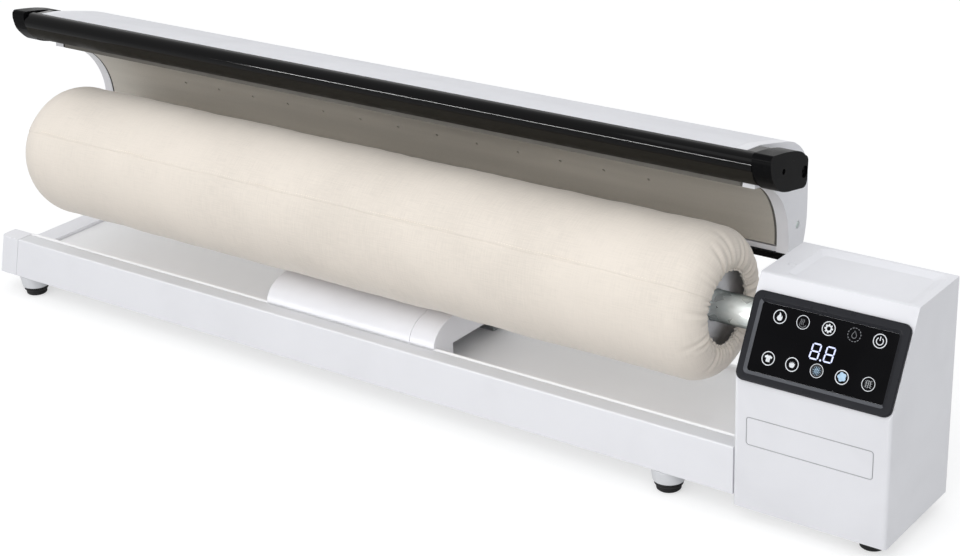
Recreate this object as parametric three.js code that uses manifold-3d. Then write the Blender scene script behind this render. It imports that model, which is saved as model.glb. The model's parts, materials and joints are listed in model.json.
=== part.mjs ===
// Household flatwork ironer: a padded roller, carried at one end by a control housing, turns
// under a heated shoe that swings up on a hinge behind the roller. Millimetres, +Z up, X along
// the roller, the operator at -Y. The origin is on the table, under the middle of the machine.
import * as THREE from 'three';
import { mergeVertices } from 'three/addons/utils/BufferGeometryUtils.js';
import Module from 'manifold-3d';

const wasm = await Module();
wasm.setup();

const DEG = Math.PI / 180;
const FIT = 0.3; // clearance between two pieces that seat on each other

// ---- driving dimensions -------------------------------------------------------------------
// Y and Z of the machine are measured from the roller's axis and from the table.
const coverLength = 830;
const coverR = 67.4;
const coverWall = 3;
const rollerUnderside = 95.6; // lowest point of the cover above the table
const freeEndRadius = 45; // rounding of the roller's closed end
const openEndRadius = 26; // rounding of the gathered end
const gatherR = 32; // opening that the drawstring leaves
const gatherDip = 4; // how far the drawstring draws the opening in
const gatherDepth = 1.6;
const gatherPleats = 24;
const coverSegments = 48;
const paddingThickness = 7.8;
const drumWall = 1.5;
const discThickness = 3;
const discHoleR = 13;
const shaftR = 13.8;
const shaftWall = 3;
const bearingWall = 5;

const controlWidth = 140;
const controlBottom = 14;
const controlFront = -58;
const controlBack = 59.5;
const controlAboveRoller = 48.5; // top of the control housing above the roller's axis
const panelRun = 80.5; // height of the sloping panel
const panelLean = 27.3 * DEG; // slope of the panel from upright
const controlWall = 3;
const controlTopWall = 5;
const controlCorner = 3.5;
const dishDepth = 3; // shallow dish in the top of the control housing
const controlPlate = 2.7;

const baseFront = -57.5;
const baseBottom = 23;
const railTop = 67.4;
const sheet = 2.5; // wall of the base mouldings
const flangeDepth = 12.5; // how far the rails turn in under the base
const ledgeDepth = 18;
const stripThickness = 0.7;
const trayWall = 1.2;
const trayFloor = 44;
const trayRearLip = 48;
const endCapWidth = 28;
const footHeight = 9.2;
const footR = 13;
const footInset = 16; // foot centres behind the front face and ahead of the rear one
const collarTopR = 16.5;
const collarBottomR = 14.5;

const openAngle = 15 * DEG;
const pinR = 6;
const earR = 13;
const earThickness = 8;
const pressGap = 2; // plate to cover when the shoe is down
const plateThickness = 4;
const plateFrom = -4.5 * DEG; // ends of the plate's arc, from level towards the rear
const plateTo = 84.5 * DEG;
const sideThickness = 11.7;
const sealWidth = 1.7;
const steamPitch = 48;
const steamHoles = 13;
const steamHoleR = 1.5;
const steamAngle = 30 * DEG;
const shoeWall = 2.4;

const guardReach = 30; // guard bar's end beyond the shoe's side cover
const guardEndWidth = 17.7;
const guardToControl = 2;
const guardPivotR = 5;

const liftWidth = 208; // length of the centre housing along the roller
const liftEndWidth = 29;
const liftOffset = 21; // centre housing from the roller's middle
const liftWall = 2.4;
const armMargin = 54; // centre housing beyond each side of the arm
const sectorTeeth = 72; // of a full turn
const liftPinionTeeth = 12;
const liftModule = 1.5;
const liftMeshAngle = 215 * DEG;
const driveGearTeeth = 48;
const drivePinionTeeth = 12;
const driveModule = 1.25;
const gearWidth = 8;

// ---- places worked out from them ----------------------------------------------------------
const shoeLength = coverLength - 4;
const machineWidth = 2 * (guardReach + sideThickness + FIT) + shoeLength + guardToControl + controlWidth;
const leftX = -machineWidth / 2;
const rightX = machineWidth / 2;
const controlX = rightX - controlWidth;
const guardLeft = leftX;
const guardRight = controlX - guardToControl;
const shoeLeft = guardLeft + guardReach + sideThickness + FIT; // inner faces of the side covers
const shoeRight = shoeLeft + shoeLength;
const coverLeft = shoeLeft + 3;
const coverRight = coverLeft + coverLength;
const liftX = (coverLeft + coverRight) / 2 + liftOffset;
const liftLeft = liftX - liftWidth / 2;
const liftRight = liftX + liftWidth / 2;
const rollerAxisZ = rollerUnderside + coverR;
const controlTop = rollerAxisZ + controlAboveRoller;
const kneeZ = controlTop - panelRun; // where the upright front turns into the sloping panel
const drumR = coverR - coverWall - paddingThickness - 2 * FIT;
const plateR = coverR + pressGap;
const hingeY = plateR + 54.6;
const hingeZ = rollerUnderside - 0.6;
const baseBack = hingeY - 8.3;
const rollerY = (coverR - (hingeY + earR)) / 2; // puts the origin under the middle of the depth

// The arc centre of the raised shoe: the roller's axis turned back about the hinge.
const shoeCentre = new THREE.Vector2(0, rollerAxisZ)
  .rotateAround(new THREE.Vector2(hingeY, hingeZ), -openAngle);

// ---- colours ------------------------------------------------------------------------------
const finish = (color, roughness, metalness = 0) =>
  new THREE.MeshStandardMaterial({ color, roughness, metalness });
const white = finish(0xeeeef0, 0.45);
const paleGrey = finish(0xc6c7c9, 0.5);
const cotton = finish(0xe6dccf, 0.95);
const felt = finish(0xcfc8bd, 0.98);
const black = finish(0x1a1a1b, 0.25);
const darkTrim = finish(0x2b2a26, 0.6);
const rubber = finish(0x141414, 0.85);
const plateGrey = finish(0x7c7871, 0.55, 0.3);
const steel = finish(0xb3b6b8, 0.4, 0.9);
const zinc = finish(0x9aa4a2, 0.3, 0.9);
const board = finish(0x1f5a35, 0.6);
const glassBlack = finish(0x070809, 0.06);
const clearPlastic = finish(0xc9dce4, 0.2);

// ---- solids -------------------------------------------------------------------------------
const points = (pairs) => pairs.map(([a, b]) => new THREE.Vector2(a, b));
const shapeOf = (pairs) => new THREE.Shape(points(pairs));

// A shape drawn in (Y, Z) and drawn out along X.
const alongX = new THREE.Matrix4().makeBasis(
  new THREE.Vector3(0, 1, 0), new THREE.Vector3(0, 0, 1), new THREE.Vector3(1, 0, 0));
function prismX(shape, x0, x1, curveSegments = 8) {
  const geometry = new THREE.ExtrudeGeometry(shape, { depth: x1 - x0, bevelEnabled: false, curveSegments });
  return geometry.applyMatrix4(alongX).translate(x0, 0, 0);
}

function prismZ(shape, z0, z1, curveSegments = 4) {
  const geometry = new THREE.ExtrudeGeometry(shape, { depth: z1 - z0, bevelEnabled: false, curveSegments });
  return geometry.translate(0, 0, z0);
}

function block(x0, x1, y0, y1, z0, z1) {
  const geometry = new THREE.BoxGeometry(x1 - x0, y1 - y0, z1 - z0);
  return geometry.translate((x0 + x1) / 2, (y0 + y1) / 2, (z0 + z1) / 2);
}

function rodX(radius, x0, x1, y, z, segments = 24) {
  const geometry = new THREE.CylinderGeometry(radius, radius, x1 - x0, segments);
  return geometry.rotateZ(-Math.PI / 2).translate((x0 + x1) / 2, y, z);
}

function tubeX(outerR, innerR, x0, x1, y, z, segments = 24) {
  const shape = circle(outerR, segments);
  shape.holes.push(circle(innerR, segments));
  return prismX(shape, x0, x1).translate(0, y, z);
}

function circle(radius, segments, x = 0, y = 0) {
  const ring = [];
  for (let i = 0; i < segments; i++) {
    const angle = (i / segments) * 2 * Math.PI;
    ring.push([x + radius * Math.cos(angle), y + radius * Math.sin(angle)]);
  }
  return shapeOf(ring);
}

function roundedRect(x0, y0, x1, y1, radius) {
  const shape = new THREE.Shape();
  shape.absarc(x1 - radius, y1 - radius, radius, 0, 90 * DEG);
  shape.absarc(x0 + radius, y1 - radius, radius, 90 * DEG, 180 * DEG);
  shape.absarc(x0 + radius, y0 + radius, radius, 180 * DEG, 270 * DEG);
  shape.absarc(x1 - radius, y0 + radius, radius, 270 * DEG, 360 * DEG);
  return shape;
}

function solidOf(geometry) {
  const bare = geometry.index ? geometry.toNonIndexed() : geometry.clone();
  for (const name of Object.keys(bare.attributes)) {
    if (name !== 'position') bare.deleteAttribute(name);
  }
  const merged = mergeVertices(bare, 1e-4);
  return new wasm.Manifold(new wasm.Mesh({
    numProp: 3,
    vertProperties: new Float32Array(merged.attributes.position.array),
    triVerts: new Uint32Array(merged.index.array),
  }));
}

function geometryOf(solid) {
  const mesh = solid.getMesh();
  const geometry = new THREE.BufferGeometry();
  geometry.setAttribute('position', new THREE.BufferAttribute(new Float32Array(mesh.vertProperties), 3));
  geometry.setIndex(new THREE.BufferAttribute(new Uint32Array(mesh.triVerts), 1));
  return geometry;
}

const cut = (geometry, ...tools) =>
  geometryOf(tools.reduce((solid, tool) => solid.subtract(solidOf(tool)), solidOf(geometry)));
const join = (geometry, ...others) =>
  geometryOf(others.reduce((solid, other) => solid.add(solidOf(other)), solidOf(geometry)));
const keep = (geometry, tool) => geometryOf(solidOf(geometry).intersect(solidOf(tool)));

// Each point of a line moved sideways by a distance, to its left as the line is walked.
function offsetLine(line, distance, closed = false) {
  const count = line.length;
  const normal = (i) => {
    const [a, b] = [line[(i + count) % count], line[(i + 1 + count) % count]];
    const length = Math.hypot(b[0] - a[0], b[1] - a[1]);
    return [-(b[1] - a[1]) / length, (b[0] - a[0]) / length];
  };
  return line.map(([x, y], i) => {
    const before = closed || i > 0 ? normal(i - 1) : normal(i);
    const after = closed || i < count - 1 ? normal(i) : normal(i - 1);
    const share = distance / (1 + before[0] * after[0] + before[1] * after[1]);
    return [x + (before[0] + after[0]) * share, y + (before[1] + after[1]) * share];
  });
}

// The closed outline of a sheet of one thickness that follows a line.
const sheetOutline = (line, thickness) => [...line, ...offsetLine(line, thickness).reverse()];

// Points on an arc, from one angle to another.
function arc(cx, cy, radius, from, to, steps) {
  const list = [];
  for (let i = 0; i <= steps; i++) {
    const angle = from + ((to - from) * i) / steps;
    list.push([cx + radius * Math.cos(angle), cy + radius * Math.sin(angle)]);
  }
  return list;
}

// Straight-flanked spur teeth between two tooth counts; a full wheel when they cover it all.
function toothLine(teeth, module, phase, first, last) {
  const pitch = (2 * Math.PI) / teeth;
  const pitchR = (module * teeth) / 2;
  const rootR = pitchR - 1.15 * module;
  const tipR = pitchR + 0.9 * module;
  const corners = [[-0.26, rootR], [-0.11, tipR], [0.11, tipR], [0.26, rootR]];
  const line = [];
  for (let tooth = first; tooth < last; tooth++) {
    for (const [share, radius] of corners) {
      const angle = phase + (tooth + share) * pitch;
      line.push([radius * Math.cos(angle), radius * Math.sin(angle)]);
    }
  }
  return line;
}

function gearX(teeth, module, phase, bore, x0, x1, y, z) {
  const shape = shapeOf(toothLine(teeth, module, phase, 0, teeth));
  if (bore) shape.holes.push(circle(bore, 24));
  return prismX(shape, x0, x1).translate(0, y, z);
}

const machine = new THREE.Group();
machine.position.y = rollerY;

function put(group, name, geometry, material) {
  const mesh = new THREE.Mesh(geometry, material);
  mesh.name = name;
  group.add(mesh);
  return mesh;
}

// ---- base ---------------------------------------------------------------------------------
const baseRight = controlX - FIT;
const railLeft = leftX + endCapWidth + FIT;
const trayFront = baseFront + ledgeDepth;
const trayLip = railTop + 0.8;
const ledge = railTop - stripThickness - 0.5; // face that the strip lies on

function frontRail() {
  const lip = 1.7;
  const outline = [
    [baseFront, baseBottom], [baseFront + flangeDepth, baseBottom],
    [baseFront + flangeDepth, baseBottom + sheet],
    [baseFront + sheet, baseBottom + sheet], [baseFront + sheet, ledge - sheet],
    [trayFront - FIT, ledge - sheet], [trayFront - FIT, ledge], [baseFront + lip, ledge],
    [baseFront + lip, railTop], [baseFront + 0.9, railTop], [baseFront, railTop - 0.9],
  ];
  return prismX(shapeOf(outline), railLeft, baseRight);
}

function ledgeStrip() {
  const bottom = ledge + FIT;
  return block(railLeft, baseRight, baseFront + 2, trayFront - 1, bottom, bottom + stripThickness);
}

function deckTray() {
  const line = [
    [trayFront, railTop - 7], [trayFront, trayLip - 1.2], [trayFront + 1.2, trayLip],
    [trayFront + 2.6, trayLip], [trayFront + 4, trayLip - 1.4], [trayFront + 7.5, trayFloor + 6.5],
    [trayFront + 10, trayFloor + 2], [trayFront + 14, trayFloor],
    [baseBack - 8.5, trayFloor], [baseBack - 5.5, trayFloor + 1.2], [baseBack - 4.2, trayRearLip],
    [baseBack, trayRearLip],
  ];
  return prismX(shapeOf(sheetOutline(line, -trayWall)), railLeft, baseRight);
}

function rearRail() {
  const top = trayRearLip - trayWall - FIT;
  const outline = [
    [baseBack, baseBottom], [baseBack, top], [baseBack - sheet, top],
    [baseBack - sheet, baseBottom + sheet], [baseBack - flangeDepth, baseBottom + sheet],
    [baseBack - flangeDepth, baseBottom],
  ];
  const endWall = block(baseRight - sheet, baseRight, controlBack + FIT, baseBack - 1,
    baseBottom + sheet + FIT, trayFloor - trayWall - FIT);
  return join(prismX(shapeOf(outline), railLeft, baseRight), endWall);
}

function bottomPlate() {
  return block(railLeft, baseRight, baseFront + flangeDepth + FIT, baseBack - flangeDepth - FIT,
    baseBottom, baseBottom + sheet);
}

// As high as the front rail along its front, and no higher than the tray's rear lip behind that.
function leftEndCap() {
  const right = leftX + endCapWidth;
  const outline = [
    [baseFront, baseBottom], [baseBack, baseBottom], [baseBack, trayRearLip],
    [trayFront + 13, trayRearLip], [trayFront + 10.5, trayRearLip + 1], [trayFront + 8.2, trayFloor + 7.5],
    [trayFront + 4.7, railTop - 1.4], [trayFront + 2.8, railTop], [baseFront, railTop],
  ];
  const plan = roundedRect(leftX, baseFront, right + 20, baseBack, 7);
  const outer = keep(prismX(shapeOf(outline), leftX, right), prismZ(plan, baseBottom - 1, railTop + 1));
  const insidePlan = roundedRect(leftX + sheet, baseFront + sheet, right - sheet, baseBack - sheet, 5);
  const hollow = keep(prismX(shapeOf(offsetLine(outline, sheet, true)), leftX, right),
    prismZ(insidePlan, baseBottom - 1, railTop));
  return cut(outer, hollow, prismZ(insidePlan, baseBottom - 1, baseBottom + sheet + 1));
}

function base(group) {
  put(group, 'front_rail', frontRail(), white);
  put(group, 'ledge_strip', ledgeStrip(), paleGrey);
  put(group, 'deck_tray', deckTray(), white);
  put(group, 'rear_rail', rearRail(), white);
  put(group, 'bottom_plate', bottomPlate(), steel);
  put(group, 'left_end_cap', leftEndCap(), white);
}

// ---- feet ---------------------------------------------------------------------------------
const frontFeetY = baseFront + footInset;
const rearFeetY = baseBack - footInset;
const footPlaces = {
  front_left: [leftX + 31, frontFeetY, baseBottom],
  front_right: [controlX - 72, frontFeetY, baseBottom],
  rear_left: [leftX + 31, rearFeetY, baseBottom],
  rear_right: [controlX - 72, rearFeetY, baseBottom],
  control_front: [rightX - 22, controlFront + 24, controlBottom],
  control_rear: [rightX - 22, controlBack - 22, controlBottom],
};

// A rubber foot in two steps, tall enough to reach what it is screwed to.
function footPad(top) {
  const neck = footR - 1.8;
  const profile = [[0, 0], [footR - 3, 0], [neck, 1.4], [neck, 5], [footR, 6], [footR, top], [0, top]];
  return new THREE.LatheGeometry(points(profile), 20).rotateX(Math.PI / 2);
}

function footCollar(top) {
  const height = top - footHeight - FIT;
  const geometry = new THREE.CylinderGeometry(collarTopR, collarBottomR, height, 24);
  return geometry.rotateX(Math.PI / 2).translate(0, 0, footHeight + FIT + height / 2);
}

function feet(group) {
  for (const [name, [x, y, seat]] of Object.entries(footPlaces)) {
    const collared = seat === baseBottom;
    const pad = footPad(collared ? footHeight : seat - FIT);
    put(group, `foot_${name}`, pad.translate(x, y, 0), rubber);
    if (collared) put(group, `foot_collar_${name}`, footCollar(seat - FIT).translate(x, y, 0), paleGrey);
  }
}

// ---- centre housing, hinge and lift -------------------------------------------------------
const liftCentres = (liftModule * (sectorTeeth + liftPinionTeeth)) / 2;
const liftPinionY = hingeY + liftCentres * Math.cos(liftMeshAngle);
const liftPinionZ = hingeZ + liftCentres * Math.sin(liftMeshAngle);
const armLeft = liftLeft + armMargin;
const armRight = liftRight - armMargin;
const sectorX = armRight + FIT;
const liftRoof = rollerUnderside - 3.6;
const liftFront = trayFront - 1.5; // laps the tray's lip
const liftSill = liftRoof - 28; // underside of the housing behind its front leg
const liftBack = baseBack - 24;

function liftOutline() {
  const leg = trayFront + 14.2; // the front leg follows the tray down to its floor
  return [
    [liftFront, trayLip + FIT], [trayFront + 4.6, trayLip + FIT], [trayFront + 8.1, trayFloor + 6.9],
    [trayFront + 10.4, trayFloor + 2.4], [leg, trayFloor + FIT], [leg + 13.5, trayFloor + FIT],
    [leg + 13.5, liftSill], [liftBack, liftSill],
    [liftBack, liftRoof - 10], [liftBack - 5, liftRoof - 3], [liftBack - 15, liftRoof],
    [liftFront + 41, liftRoof], [liftFront + 28.6, liftRoof - 1], [liftFront + 17, liftRoof - 4],
    [liftFront + 9, liftRoof - 8.2], [liftFront + 3.6, liftRoof - 13.5],
    [liftFront + 0.7, liftRoof - 19],
  ];
}

// One half of the housing: open underneath and at the end where it meets the other half.
function liftShell(x0, x1, openLeft, openRight) {
  const outline = liftOutline();
  const inner = shapeOf(offsetLine(outline, liftWall, true));
  const from = openLeft ? x0 - 1 : x0 + liftWall;
  const to = openRight ? x1 + 1 : x1 - liftWall;
  const hollow = prismX(inner, from, to);
  const below = hollow.clone().translate(0, 0, -2 * liftWall);
  return cut(prismX(shapeOf(outline), x0, x1), hollow, below);
}

const liftSeam = liftRight - liftEndWidth;

function centreHousing() {
  const slot = block(sectorX - 2, sectorX + gearWidth + 2, liftBack - 9, liftBack + 1,
    liftSill - 1, liftRoof + 1);
  return cut(liftShell(liftLeft, liftSeam, false, true), slot);
}

function hingeBracket() {
  const left = armLeft - FIT - earThickness;
  const right = sectorX + gearWidth + FIT + earThickness;
  const foot = block(left, right, baseBack - 20, baseBack - 8.8, trayFloor + FIT, trayFloor + 4);
  const ear = shapeOf([
    ...arc(hingeY, hingeZ, earR, -60 * DEG, 165 * DEG, 9),
    [baseBack - 20, trayFloor + 22], [baseBack - 20, trayFloor + 2], [baseBack - 8.8, trayFloor + 2],
  ]);
  const ears = [prismX(ear, left, left + earThickness), prismX(ear, right - earThickness, right)];
  return cut(join(foot, ...ears), rodX(pinR + FIT, left - 1, right + 1, hingeY, hingeZ));
}

function hingePin() {
  const left = armLeft - FIT - earThickness - 2;
  const right = sectorX + gearWidth + FIT + earThickness + 2;
  return rodX(pinR, left, right, hingeY, hingeZ);
}

function liftMotor() {
  const left = sectorX + gearWidth + 3;
  const can = rodX(13, left, liftRight - liftWall - 1, liftPinionY, liftPinionZ, 20);
  const stand = block(left + 8, liftRight - 8, liftPinionY - 9, liftPinionY + 9,
    trayFloor + FIT, liftPinionZ - 10);
  return join(can, stand);
}

function liftPinion() {
  const gear = gearX(liftPinionTeeth, liftModule, liftMeshAngle + Math.PI, 0,
    sectorX, sectorX + gearWidth, liftPinionY, liftPinionZ);
  return join(gear, rodX(3, sectorX - 2, sectorX + gearWidth + 2.7, liftPinionY, liftPinionZ, 12));
}

function lift(group) {
  put(group, 'centre_housing', centreHousing(), white);
  put(group, 'centre_housing_end', liftShell(liftSeam + FIT, liftRight, true, false), white);
  put(group, 'hinge_bracket', hingeBracket(), steel);
  put(group, 'hinge_pin', hingePin(), zinc);
  put(group, 'lift_motor', liftMotor(), steel);
  put(group, 'lift_pinion', liftPinion(), steel);
}

// ---- control housing ----------------------------------------------------------------------
const panelTopY = controlFront + panelRun * Math.tan(panelLean);
const basePlateTop = controlBottom + controlPlate;

// A frame on the sloping panel: x to the right from its left edge, y up the slope, z outwards.
const onPanel = new THREE.Matrix4().makeRotationX(Math.PI / 2 - panelLean)
  .setPosition(controlX, controlFront, kneeZ);

const bezelInset = 1;
const bezelBottom = 0.8;
const bezelHeight = 76;
const bezelBand = 8.8;
const bezelRise = 3.6;
const glassThickness = 1.5;
const windowSide = 16; // opening in the panel behind the glass
const windowEnd = 14;
const filler = { x: controlX + 52, z: basePlateTop + 101, r: 13 };
const inlet = { x: rightX - 20, z: controlBottom + 67, w: 26, h: 22 };
const plug = { x: controlX + 14.5, y: 10, r: 3 };

function controlOutline() {
  return [
    [controlFront, controlBottom], [controlBack, controlBottom], [controlBack, controlTop - 2],
    [controlBack - 2, controlTop], [panelTopY + 2, controlTop], [panelTopY, controlTop - 0.6],
    [controlFront, kneeZ],
  ];
}

// A fine groove round the bare plate on the lower front.
function plateGroove() {
  const [x0, x1] = [controlX + 11.8, rightX - 13.7];
  const [z0, z1] = [controlBottom + 60, controlBottom + 86];
  const band = 0.9;
  const depth = 0.5;
  const stand = (shape) => prismZ(shape, 0, depth + 1).rotateX(Math.PI / 2)
    .translate(0, controlFront + depth, 0);
  const ring = roundedRect(x0, z0, x1, z1, 3);
  const inner = roundedRect(x0 + band, z0 + band, x1 - band, z1 - band, 3 - band);
  return cut(stand(ring), stand(inner));
}

// The dish in the top: an opening whose walls slope in to a smaller floor.
function topDish() {
  const [x0, x1, y0, y1] = [controlX + 19, rightX - 5, panelTopY + 5, controlBack - 4];
  const floorZ = controlTop - dishDepth;
  const geometry = prismZ(roundedRect(x0, y0, x1, y1, 6), floorZ, controlTop + 0.5);
  const at = geometry.attributes.position;
  for (let i = 0; i < at.count; i++) {
    if (at.getZ(i) > floorZ + 0.01) continue;
    at.setX(i, x0 + 6 + ((at.getX(i) - x0) / (x1 - x0)) * (x1 - x0 - 16));
    at.setY(i, y0 + 4 + ((at.getY(i) - y0) / (y1 - y0)) * (y1 - y0 - 13));
  }
  return geometry;
}

function controlHousing() {
  const w = controlWall;
  const plan = roundedRect(controlX, controlFront, rightX, controlBack, controlCorner);
  const shell = keep(prismX(shapeOf(controlOutline()), controlX, rightX), prismZ(plan, 0, controlTop + 1));
  const inner = [
    [controlFront + w, controlBottom - 1], [controlBack - w, controlBottom - 1],
    [controlBack - w, controlTop - controlTopWall], [panelTopY + w, controlTop - controlTopWall],
    [controlFront + w, kneeZ - 1],
  ];
  const hollow = prismX(shapeOf(inner), controlX + w, rightX - w);
  const window = roundedRect(windowSide, windowEnd, controlWidth - windowSide, bezelHeight - 12, 2);
  const shaftHole = rodX(shaftR + 2.2, controlX - 1, controlX + w + 1, 0, rollerAxisZ);
  const plugHole = new THREE.CylinderGeometry(plug.r + FIT, plug.r + FIT, 4, 16).rotateX(Math.PI / 2)
    .translate(plug.x, plug.y, controlTop);
  const fillerHole = new THREE.CylinderGeometry(filler.r, filler.r, 9, 24)
    .translate(filler.x, controlBack, filler.z);
  const inletHole = block(inlet.x - inlet.w / 2, inlet.x + inlet.w / 2,
    controlBack - w - 2, controlBack + 1, inlet.z - inlet.h / 2, inlet.z + inlet.h / 2);
  return cut(shell, hollow, topDish(), prismZ(window, -9, 1).applyMatrix4(onPanel), shaftHole, plugHole,
    fillerHole, inletHole, plateGroove());
}

function panelBezel() {
  const [x0, x1, y0, y1] = [bezelInset, controlWidth - bezelInset, bezelBottom, bezelHeight];
  const body = prismZ(roundedRect(x0, y0, x1, y1, 7), FIT, bezelRise);
  const mouth = roundedRect(x0 + bezelBand, y0 + bezelBand, x1 - bezelBand, y1 - bezelBand, 2.5);
  return cut(body, prismZ(mouth, -1, bezelRise + 1)).applyMatrix4(onPanel);
}

function touchGlass() {
  const inset = bezelInset + bezelBand + FIT;
  const shape = roundedRect(inset, bezelBottom + bezelBand + FIT,
    controlWidth - inset, bezelHeight - bezelBand - FIT, 2.2);
  return prismZ(shape, FIT, FIT + glassThickness).applyMatrix4(onPanel);
}

// It hangs in the panel's window, under the glass.
function displayModule() {
  const shape = roundedRect(windowSide + 1, windowEnd + 1, controlWidth - 40, bezelHeight - 13, 1);
  return prismZ(shape, -6.5, 0).applyMatrix4(onPanel);
}

function controls(group) {
  put(group, 'control_housing', controlHousing(), white);
  put(group, 'panel_bezel', panelBezel(), black);
  put(group, 'touch_glass', touchGlass(), glassBlack);
  put(group, 'display_module', displayModule(), board);
  const w = controlWall + FIT;
  put(group, 'control_base_plate', block(controlX + w, rightX - w, controlFront + w, controlBack - w,
    controlBottom, basePlateTop), steel);
  put(group, 'top_plug', new THREE.CylinderGeometry(plug.r, plug.r, 1.8, 16).rotateX(Math.PI / 2)
    .translate(plug.x, plug.y, controlTop - 0.8), white);
  put(group, 'main_board', block(rightX - w - 9, rightX - w, controlFront + 17, controlBack - 24,
    controlBottom + 14, kneeZ + 19), board);
}

// ---- roller drive -------------------------------------------------------------------------
const bearingR = shaftR + FIT + bearingWall;
const frameHalf = bearingR + 3;
const frameLeft = controlX + 7;
const frameRight = rightX - 39;
const frameWall = 4;
const driveGearX = frameRight + frameWall + 3.4;
const driveCentres = (driveModule * (driveGearTeeth + drivePinionTeeth)) / 2;
const driveZ = rollerAxisZ - driveCentres;

// Two uprights with round heads, which carry the shaft's bearings, on one foot.
function bearingFrame() {
  const foot = block(frameLeft, frameRight + frameWall, -frameHalf, frameHalf,
    basePlateTop + FIT, basePlateTop + 4);
  const side = shapeOf([
    ...arc(0, rollerAxisZ, frameHalf, 0, Math.PI, 12), [-frameHalf, basePlateTop + 2],
    [frameHalf, basePlateTop + 2],
  ]);
  const upright = (x) => prismX(side, x, x + frameWall);
  const bore = rodX(bearingR + FIT, frameLeft - 1, frameRight + frameWall + 1, 0, rollerAxisZ);
  const pinionBore = rodX(5, frameRight - 1, frameRight + frameWall + 1, 0, driveZ, 16);
  return cut(join(foot, upright(frameLeft), upright(frameRight)), bore, pinionBore);
}

const bearing = (x) => tubeX(bearingR, shaftR + FIT, x - 3, x + frameWall + 3, 0, rollerAxisZ);

function driveMotor() {
  return join(rodX(15, frameLeft + 20, frameRight - FIT, 0, driveZ),
    block(frameLeft + 28, frameRight - 20, -14, 14, basePlateTop + 4 + FIT, driveZ - 12));
}

function drivePinion() {
  const gear = gearX(drivePinionTeeth, driveModule, Math.PI / 2, 0,
    driveGearX, driveGearX + gearWidth, 0, driveZ);
  return join(gear, rodX(4.6, frameRight + FIT, driveGearX + 1, 0, driveZ, 12));
}

function waterTank() {
  const back = controlBack - controlWall - FIT;
  const shape = roundedRect(frameLeft + 6, frameHalf + 7, frameRight - 2, back, 6);
  return prismZ(shape, basePlateTop + FIT, filler.z + 22);
}

// A socket with three flat pins standing in it.
function powerInlet() {
  const box = (w, h, y0, y1, x = 0, z = 0) => block(inlet.x + x - w / 2, inlet.x + x + w / 2,
    controlBack + y0, controlBack + y1, inlet.z + z - h / 2, inlet.z + z + h / 2);
  const outside = box(inlet.w - 2 * FIT, inlet.h - 2 * FIT, -16, 1);
  const body = cut(outside, box(inlet.w - 5, inlet.h - 5, -12, 2));
  return join(body, box(2, 4, -13, -2, -7, -2), box(2, 4, -13, -2, 7, -2), box(2, 4, -13, -2, 0, 3));
}

function rollerDrive(group) {
  put(group, 'bearing_frame', bearingFrame(), steel);
  put(group, 'outer_bearing', bearing(frameLeft), steel);
  put(group, 'inner_bearing', bearing(frameRight), steel);
  put(group, 'drive_motor', driveMotor(), steel);
  put(group, 'drive_pinion', drivePinion(), steel);
  put(group, 'water_tank', waterTank(), clearPlastic);
  put(group, 'tank_bung', new THREE.CylinderGeometry(filler.r - FIT, filler.r - FIT, 5.5, 24)
    .translate(filler.x, controlBack + 0.3, filler.z), rubber);
  put(group, 'power_inlet', powerInlet(), black);
}

// ---- roller -------------------------------------------------------------------------------
const coverInnerR = coverR - coverWall;

// The outside of the cover from its closed end to the gathered opening, as [x, radius].
function coverLine(wall) {
  const [left, right, radius] = [coverLeft + wall, coverRight - wall, coverR - wall];
  const closed = arc(left + freeEndRadius - wall, radius - freeEndRadius + wall, freeEndRadius - wall,
    180 * DEG, 90 * DEG, 5);
  const open = arc(right - openEndRadius + wall, radius - openEndRadius + wall, openEndRadius - wall,
    90 * DEG, 0, 5);
  return [[left, 0], ...closed, ...open, [right - gatherDip, gatherR]];
}

// The cover is one skin: out along the outside, back along the inside. Near the opening the
// cloth stands in pleats, deepest at the drawstring.
function rollerCover() {
  const outer = coverLine(0);
  const inner = coverLine(coverWall).reverse();
  const pleatStart = coverRight - openEndRadius;
  const line = [...outer, ...inner];
  const positions = [];
  const ring = (x, radius, outside) => {
    const share = Math.max(0, (coverR - radius) / (coverR - gatherR)) * (x > pleatStart ? 1 : 0);
    for (let i = 0; i < coverSegments; i++) {
      const angle = (i / coverSegments) * 2 * Math.PI;
      const fold = outside ? share * gatherDepth * Math.cos(gatherPleats * angle) : 0;
      positions.push(x + fold, radius * Math.cos(angle), radius * Math.sin(angle));
    }
  };
  line.slice(1, -1).forEach(([x, radius], i) => ring(x, radius, i < outer.length - 1));
  const rings = line.length - 2;
  const first = positions.length / 3;
  positions.push(line[0][0], 0, 0, line[line.length - 1][0], 0, 0);
  const index = [];
  for (let i = 0; i < coverSegments; i++) {
    const j = (i + 1) % coverSegments;
    index.push(first, j, i);
    for (let k = 0; k < rings - 1; k++) {
      const [a, b] = [k * coverSegments, (k + 1) * coverSegments];
      index.push(a + i, a + j, b + j, a + i, b + j, b + i);
    }
    const last = (rings - 1) * coverSegments;
    index.push(first + 1, last + i, last + j);
  }
  const geometry = new THREE.BufferGeometry();
  geometry.setAttribute('position', new THREE.Float32BufferAttribute(positions, 3));
  geometry.setIndex(index);
  return geometry;
}

// The left disc has lightening holes, and the right one, which shows in the cover's opening, is plain.
function drumDisc(x, holes) {
  const shape = circle(drumR - drumWall - FIT, 36);
  shape.holes.push(circle(shaftR + FIT, 24));
  const ring = (drumR + shaftR) / 2;
  for (let i = 0; i < holes; i++) {
    const angle = (30 + 360 * i / holes) * DEG;
    shape.holes.push(circle(discHoleR, 16, ring * Math.cos(angle), ring * Math.sin(angle)));
  }
  return prismX(shape, x, x + discThickness);
}

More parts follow.
